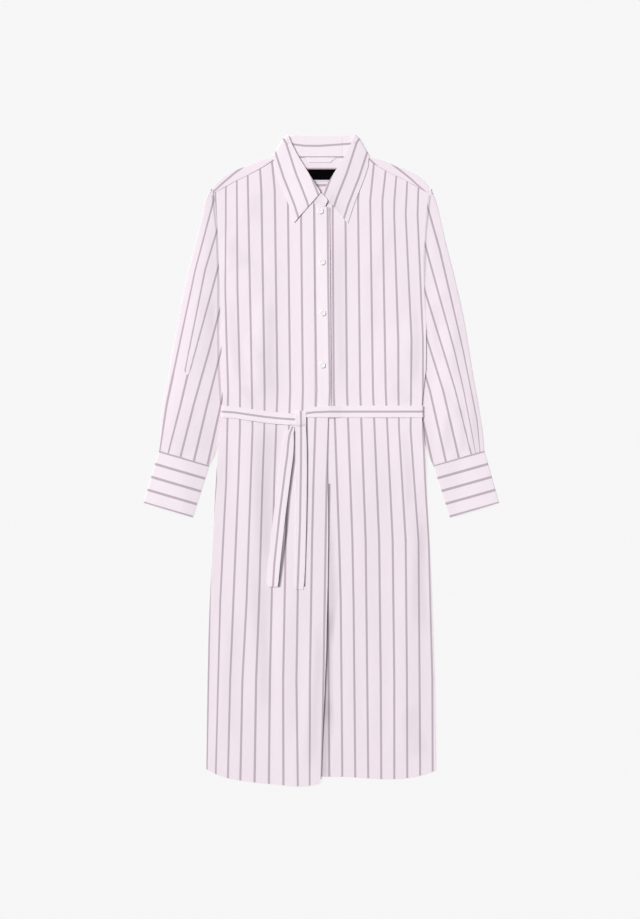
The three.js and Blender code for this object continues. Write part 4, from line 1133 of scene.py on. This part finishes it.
def sew_line(bm, name, line, pitch=STITCH_PITCH, length=STITCH_LENGTH):
    """Stitches along a line of points in millimetres, wherever the piece isn't covered."""
    points = [Vector((x * MM, y * MM)) for x, y in line]
    walked = 0.0
    for a, b in zip(points, points[1:]):
        run = (b - a).length
        while walked + length < run:
            ends = [a.lerp(b, (walked + part) / run) for part in (0, length)]
            start, end = (on_top(name, *point) for point in ends)
            if start is not None and end is not None:
                add_stitch(bm, start, end)
            walked += pitch
        walked = max(0.0, walked - run)


def both_sides(line):
    return [line, [(-x, y) for x, y in line]]


SEWING = {
    "collar_stitches": ("collar_fall_cloth", both_sides(
        [(-86, 560), (-85, 555), (-73.5, 518.5), (-64, 495), (-54.6, 470.5), (-46.6, 446), (-5.6, 494.2)])),
    "placket_stitches": ("placket_cloth", [
        [(-11, 466), (-10.4, 407), (-8.7, 241), (-8.7, 102)], [(12.4, 464), (12.8, 407), (14.3, 241), (16, 102)]]),
    "right_cuff_stitches": ("right_cuff_cloth", [
        [(-299.5, 13.5), (-213, -12)], [(-325.5, -73), (-240, -99.5)], [(-297, 12), (-322, -73)]]),
    "left_cuff_stitches": ("left_cuff_cloth", [
        [(299.5, 13.5), (213, -12)], [(325.5, -73), (240, -99.5)], [(297, 12), (322, -73)]]),
    "yoke_stitches": ("yoke_cloth", both_sides(
        [(-196, 498.5), (-187, 502), (-172, 510.6), (-155, 520), (-134, 530), (-112, 541.3), (-98, 550)])),
    "right_hem_stitches": ("right_front_cloth", [
        [(-208, -562), (-194, -569), (-171, -576.5), (-146, -581), (-119, -584.5), (-69, -589.5), (-43, -591),
         (-20, -590), (-7, -585)]]),
    "left_hem_stitches": ("left_front_cloth", [
        [(8, -573.5), (41, -573.5), (87, -576.5), (122, -578.7), (158, -576.6), (180, -572.6), (207, -562)]]),
    "belt_stitches": ("belt_round_cloth", [
        [(-178, 98.6), (-160, 96.6), (-135, 93), (-109, 89.4), (-80, 86.3), (-50, 83.5)],
        [(-178, 81.4), (-160, 79.8), (-135, 76.2), (-109, 72.4), (-80, 69.2), (-50, 68)],
        [(182, 98.8), (40, 98.7), (16, 98.4), (-2, 98), (-14, 95.6)],
        [(182, 81.1), (40, 81), (16, 81.2), (-2, 81.4), (-14, 81.6)]]),
    "front_tail_stitches": ("belt_tail_front_cloth", [
        [(-45.5, 60), (-45.9, -110), (-46.4, -190), (-47, -228)],
        [(-29.6, 60), (-28.4, -18), (-29.6, -111), (-33.4, -228)]]),
    "under_tail_stitches": ("belt_tail_under_cloth", [
        [(-64.5, 48), (-72.2, 8), (-81.2, -60), (-91.2, -145), (-98, -222)],
        [(-52.8, 33), (-57.3, -18), (-68, -100), (-77.7, -190), (-81, -222)]]),
}
for name, (piece, lines) in SEWING.items():
    bm = bmesh.new()
    for line in lines:
        sew_line(bm, piece, line)
    count = len(bm.verts) // BEAD_VERTICES
    place_piece(name, bm, THREAD_PAINT)
    print(name, "stitches:", count)

# %% [markdown]
# A buttonhole is a slit along the placket, a little longer than its button. Its edges are bound
# with threads side by side, and one thread across closes each end.

# %% Buttonholes
HOLE_LENGTH = 14.0 * MM
HOLE_HALF_WIDTH = 1.25 * MM
SLIT_HALF_WIDTH = 0.25 * MM
BINDING_PITCH = 0.5 * MM

bm = bmesh.new()
for x, y, z in button_places:
    count = int(HOLE_LENGTH / BINDING_PITCH)
    for k in range(count + 1):
        level = y - HOLE_LENGTH / 2 + k * BINDING_PITCH
        for part in (-1, 1):
            reaches = (SLIT_HALF_WIDTH, HOLE_HALF_WIDTH)
            ends = [on_top("placket_cloth", x + part * reach, level) for reach in reaches]
            if None not in ends:
                add_stitch(bm, *ends, radius=0.24 * MM)
    for level in (y - HOLE_LENGTH / 2 - 0.4 * MM, y + HOLE_LENGTH / 2 + 0.4 * MM):
        ends = [on_top("placket_cloth", x + reach, level) for reach in (-HOLE_HALF_WIDTH, HOLE_HALF_WIDTH)]
        if None not in ends:
            add_stitch(bm, *ends, radius=0.35 * MM)
place_piece("buttonhole_threads", bm, THREAD_PAINT)
print("buttonholes:", len(button_places))

# %% [markdown]
# ## The flat cut of each cloth
# Every piece of cloth is listed with the size that it would have cut out flat, as wide and as
# long as its pattern, and with what it lies on; the loop below only looks each piece up.
# Doubled pieces are given as they lie.

CLOTHS = [
    # piece, width and length of its cut, area of the cut, what it lies on, sewing on it
    ("back_cloth", 0.425, 1.05, 0.41, ["floor"], []),
    ("right_front_cloth", 0.28, 1.16, 0.26, ["left_front_cloth"], ["right_hem_stitches"]),
    ("left_front_cloth", 0.25, 1.15, 0.255, ["back_cloth"], ["left_hem_stitches"]),
    ("placket_cloth", 0.065, 0.385, 0.024, ["left_front_cloth"],
     ["placket_stitches", "buttonhole_threads", "button_threads"]),
    ("yoke_cloth", 0.40, 0.17, 0.042, ["floor"], ["yoke_stitches"]),
    ("right_sleeve_cloth", 0.30, 0.53, 0.092, ["floor"], []),
    ("left_sleeve_cloth", 0.30, 0.53, 0.089, ["floor"], []),
    ("right_cuff_cloth", 0.195, 0.102, 0.0192, ["floor"], ["right_cuff_stitches"]),
    ("left_cuff_cloth", 0.195, 0.102, 0.0192, ["floor"], ["left_cuff_stitches"]),
    ("collar_stand_cloth", 0.42, 0.04, 0.0145, ["left_front_cloth", "yoke_cloth"], []),
    ("collar_fall_cloth", 0.45, 0.075, 0.023, ["right_front_cloth", "collar_stand_cloth"], ["collar_stitches"]),
    ("belt_round_cloth", 0.79, 0.022, 0.0168, ["right_front_cloth", "left_front_cloth"], ["belt_stitches"]),
    ("belt_knot_cloth", 0.022, 0.034, 0.00072, ["belt_round_cloth"], []),
    ("belt_tail_front_cloth", 0.022, 0.305, 0.0066, ["right_front_cloth"], ["front_tail_stitches"]),
    ("belt_tail_under_cloth", 0.022, 0.30, 0.0064, ["right_front_cloth"], ["under_tail_stitches"]),
    ("neck_loop_cloth", 0.06, 0.012, 0.0005, ["yoke_cloth"], []),
    ("neck_label_cloth", 0.061, 0.022, 0.00134, ["yoke_cloth"], []),
]
for name, width, length, area, rests_on, sewing in CLOTHS:
    piece = bpy.data.objects[name]
print("cloth pieces:", len(CLOTHS))
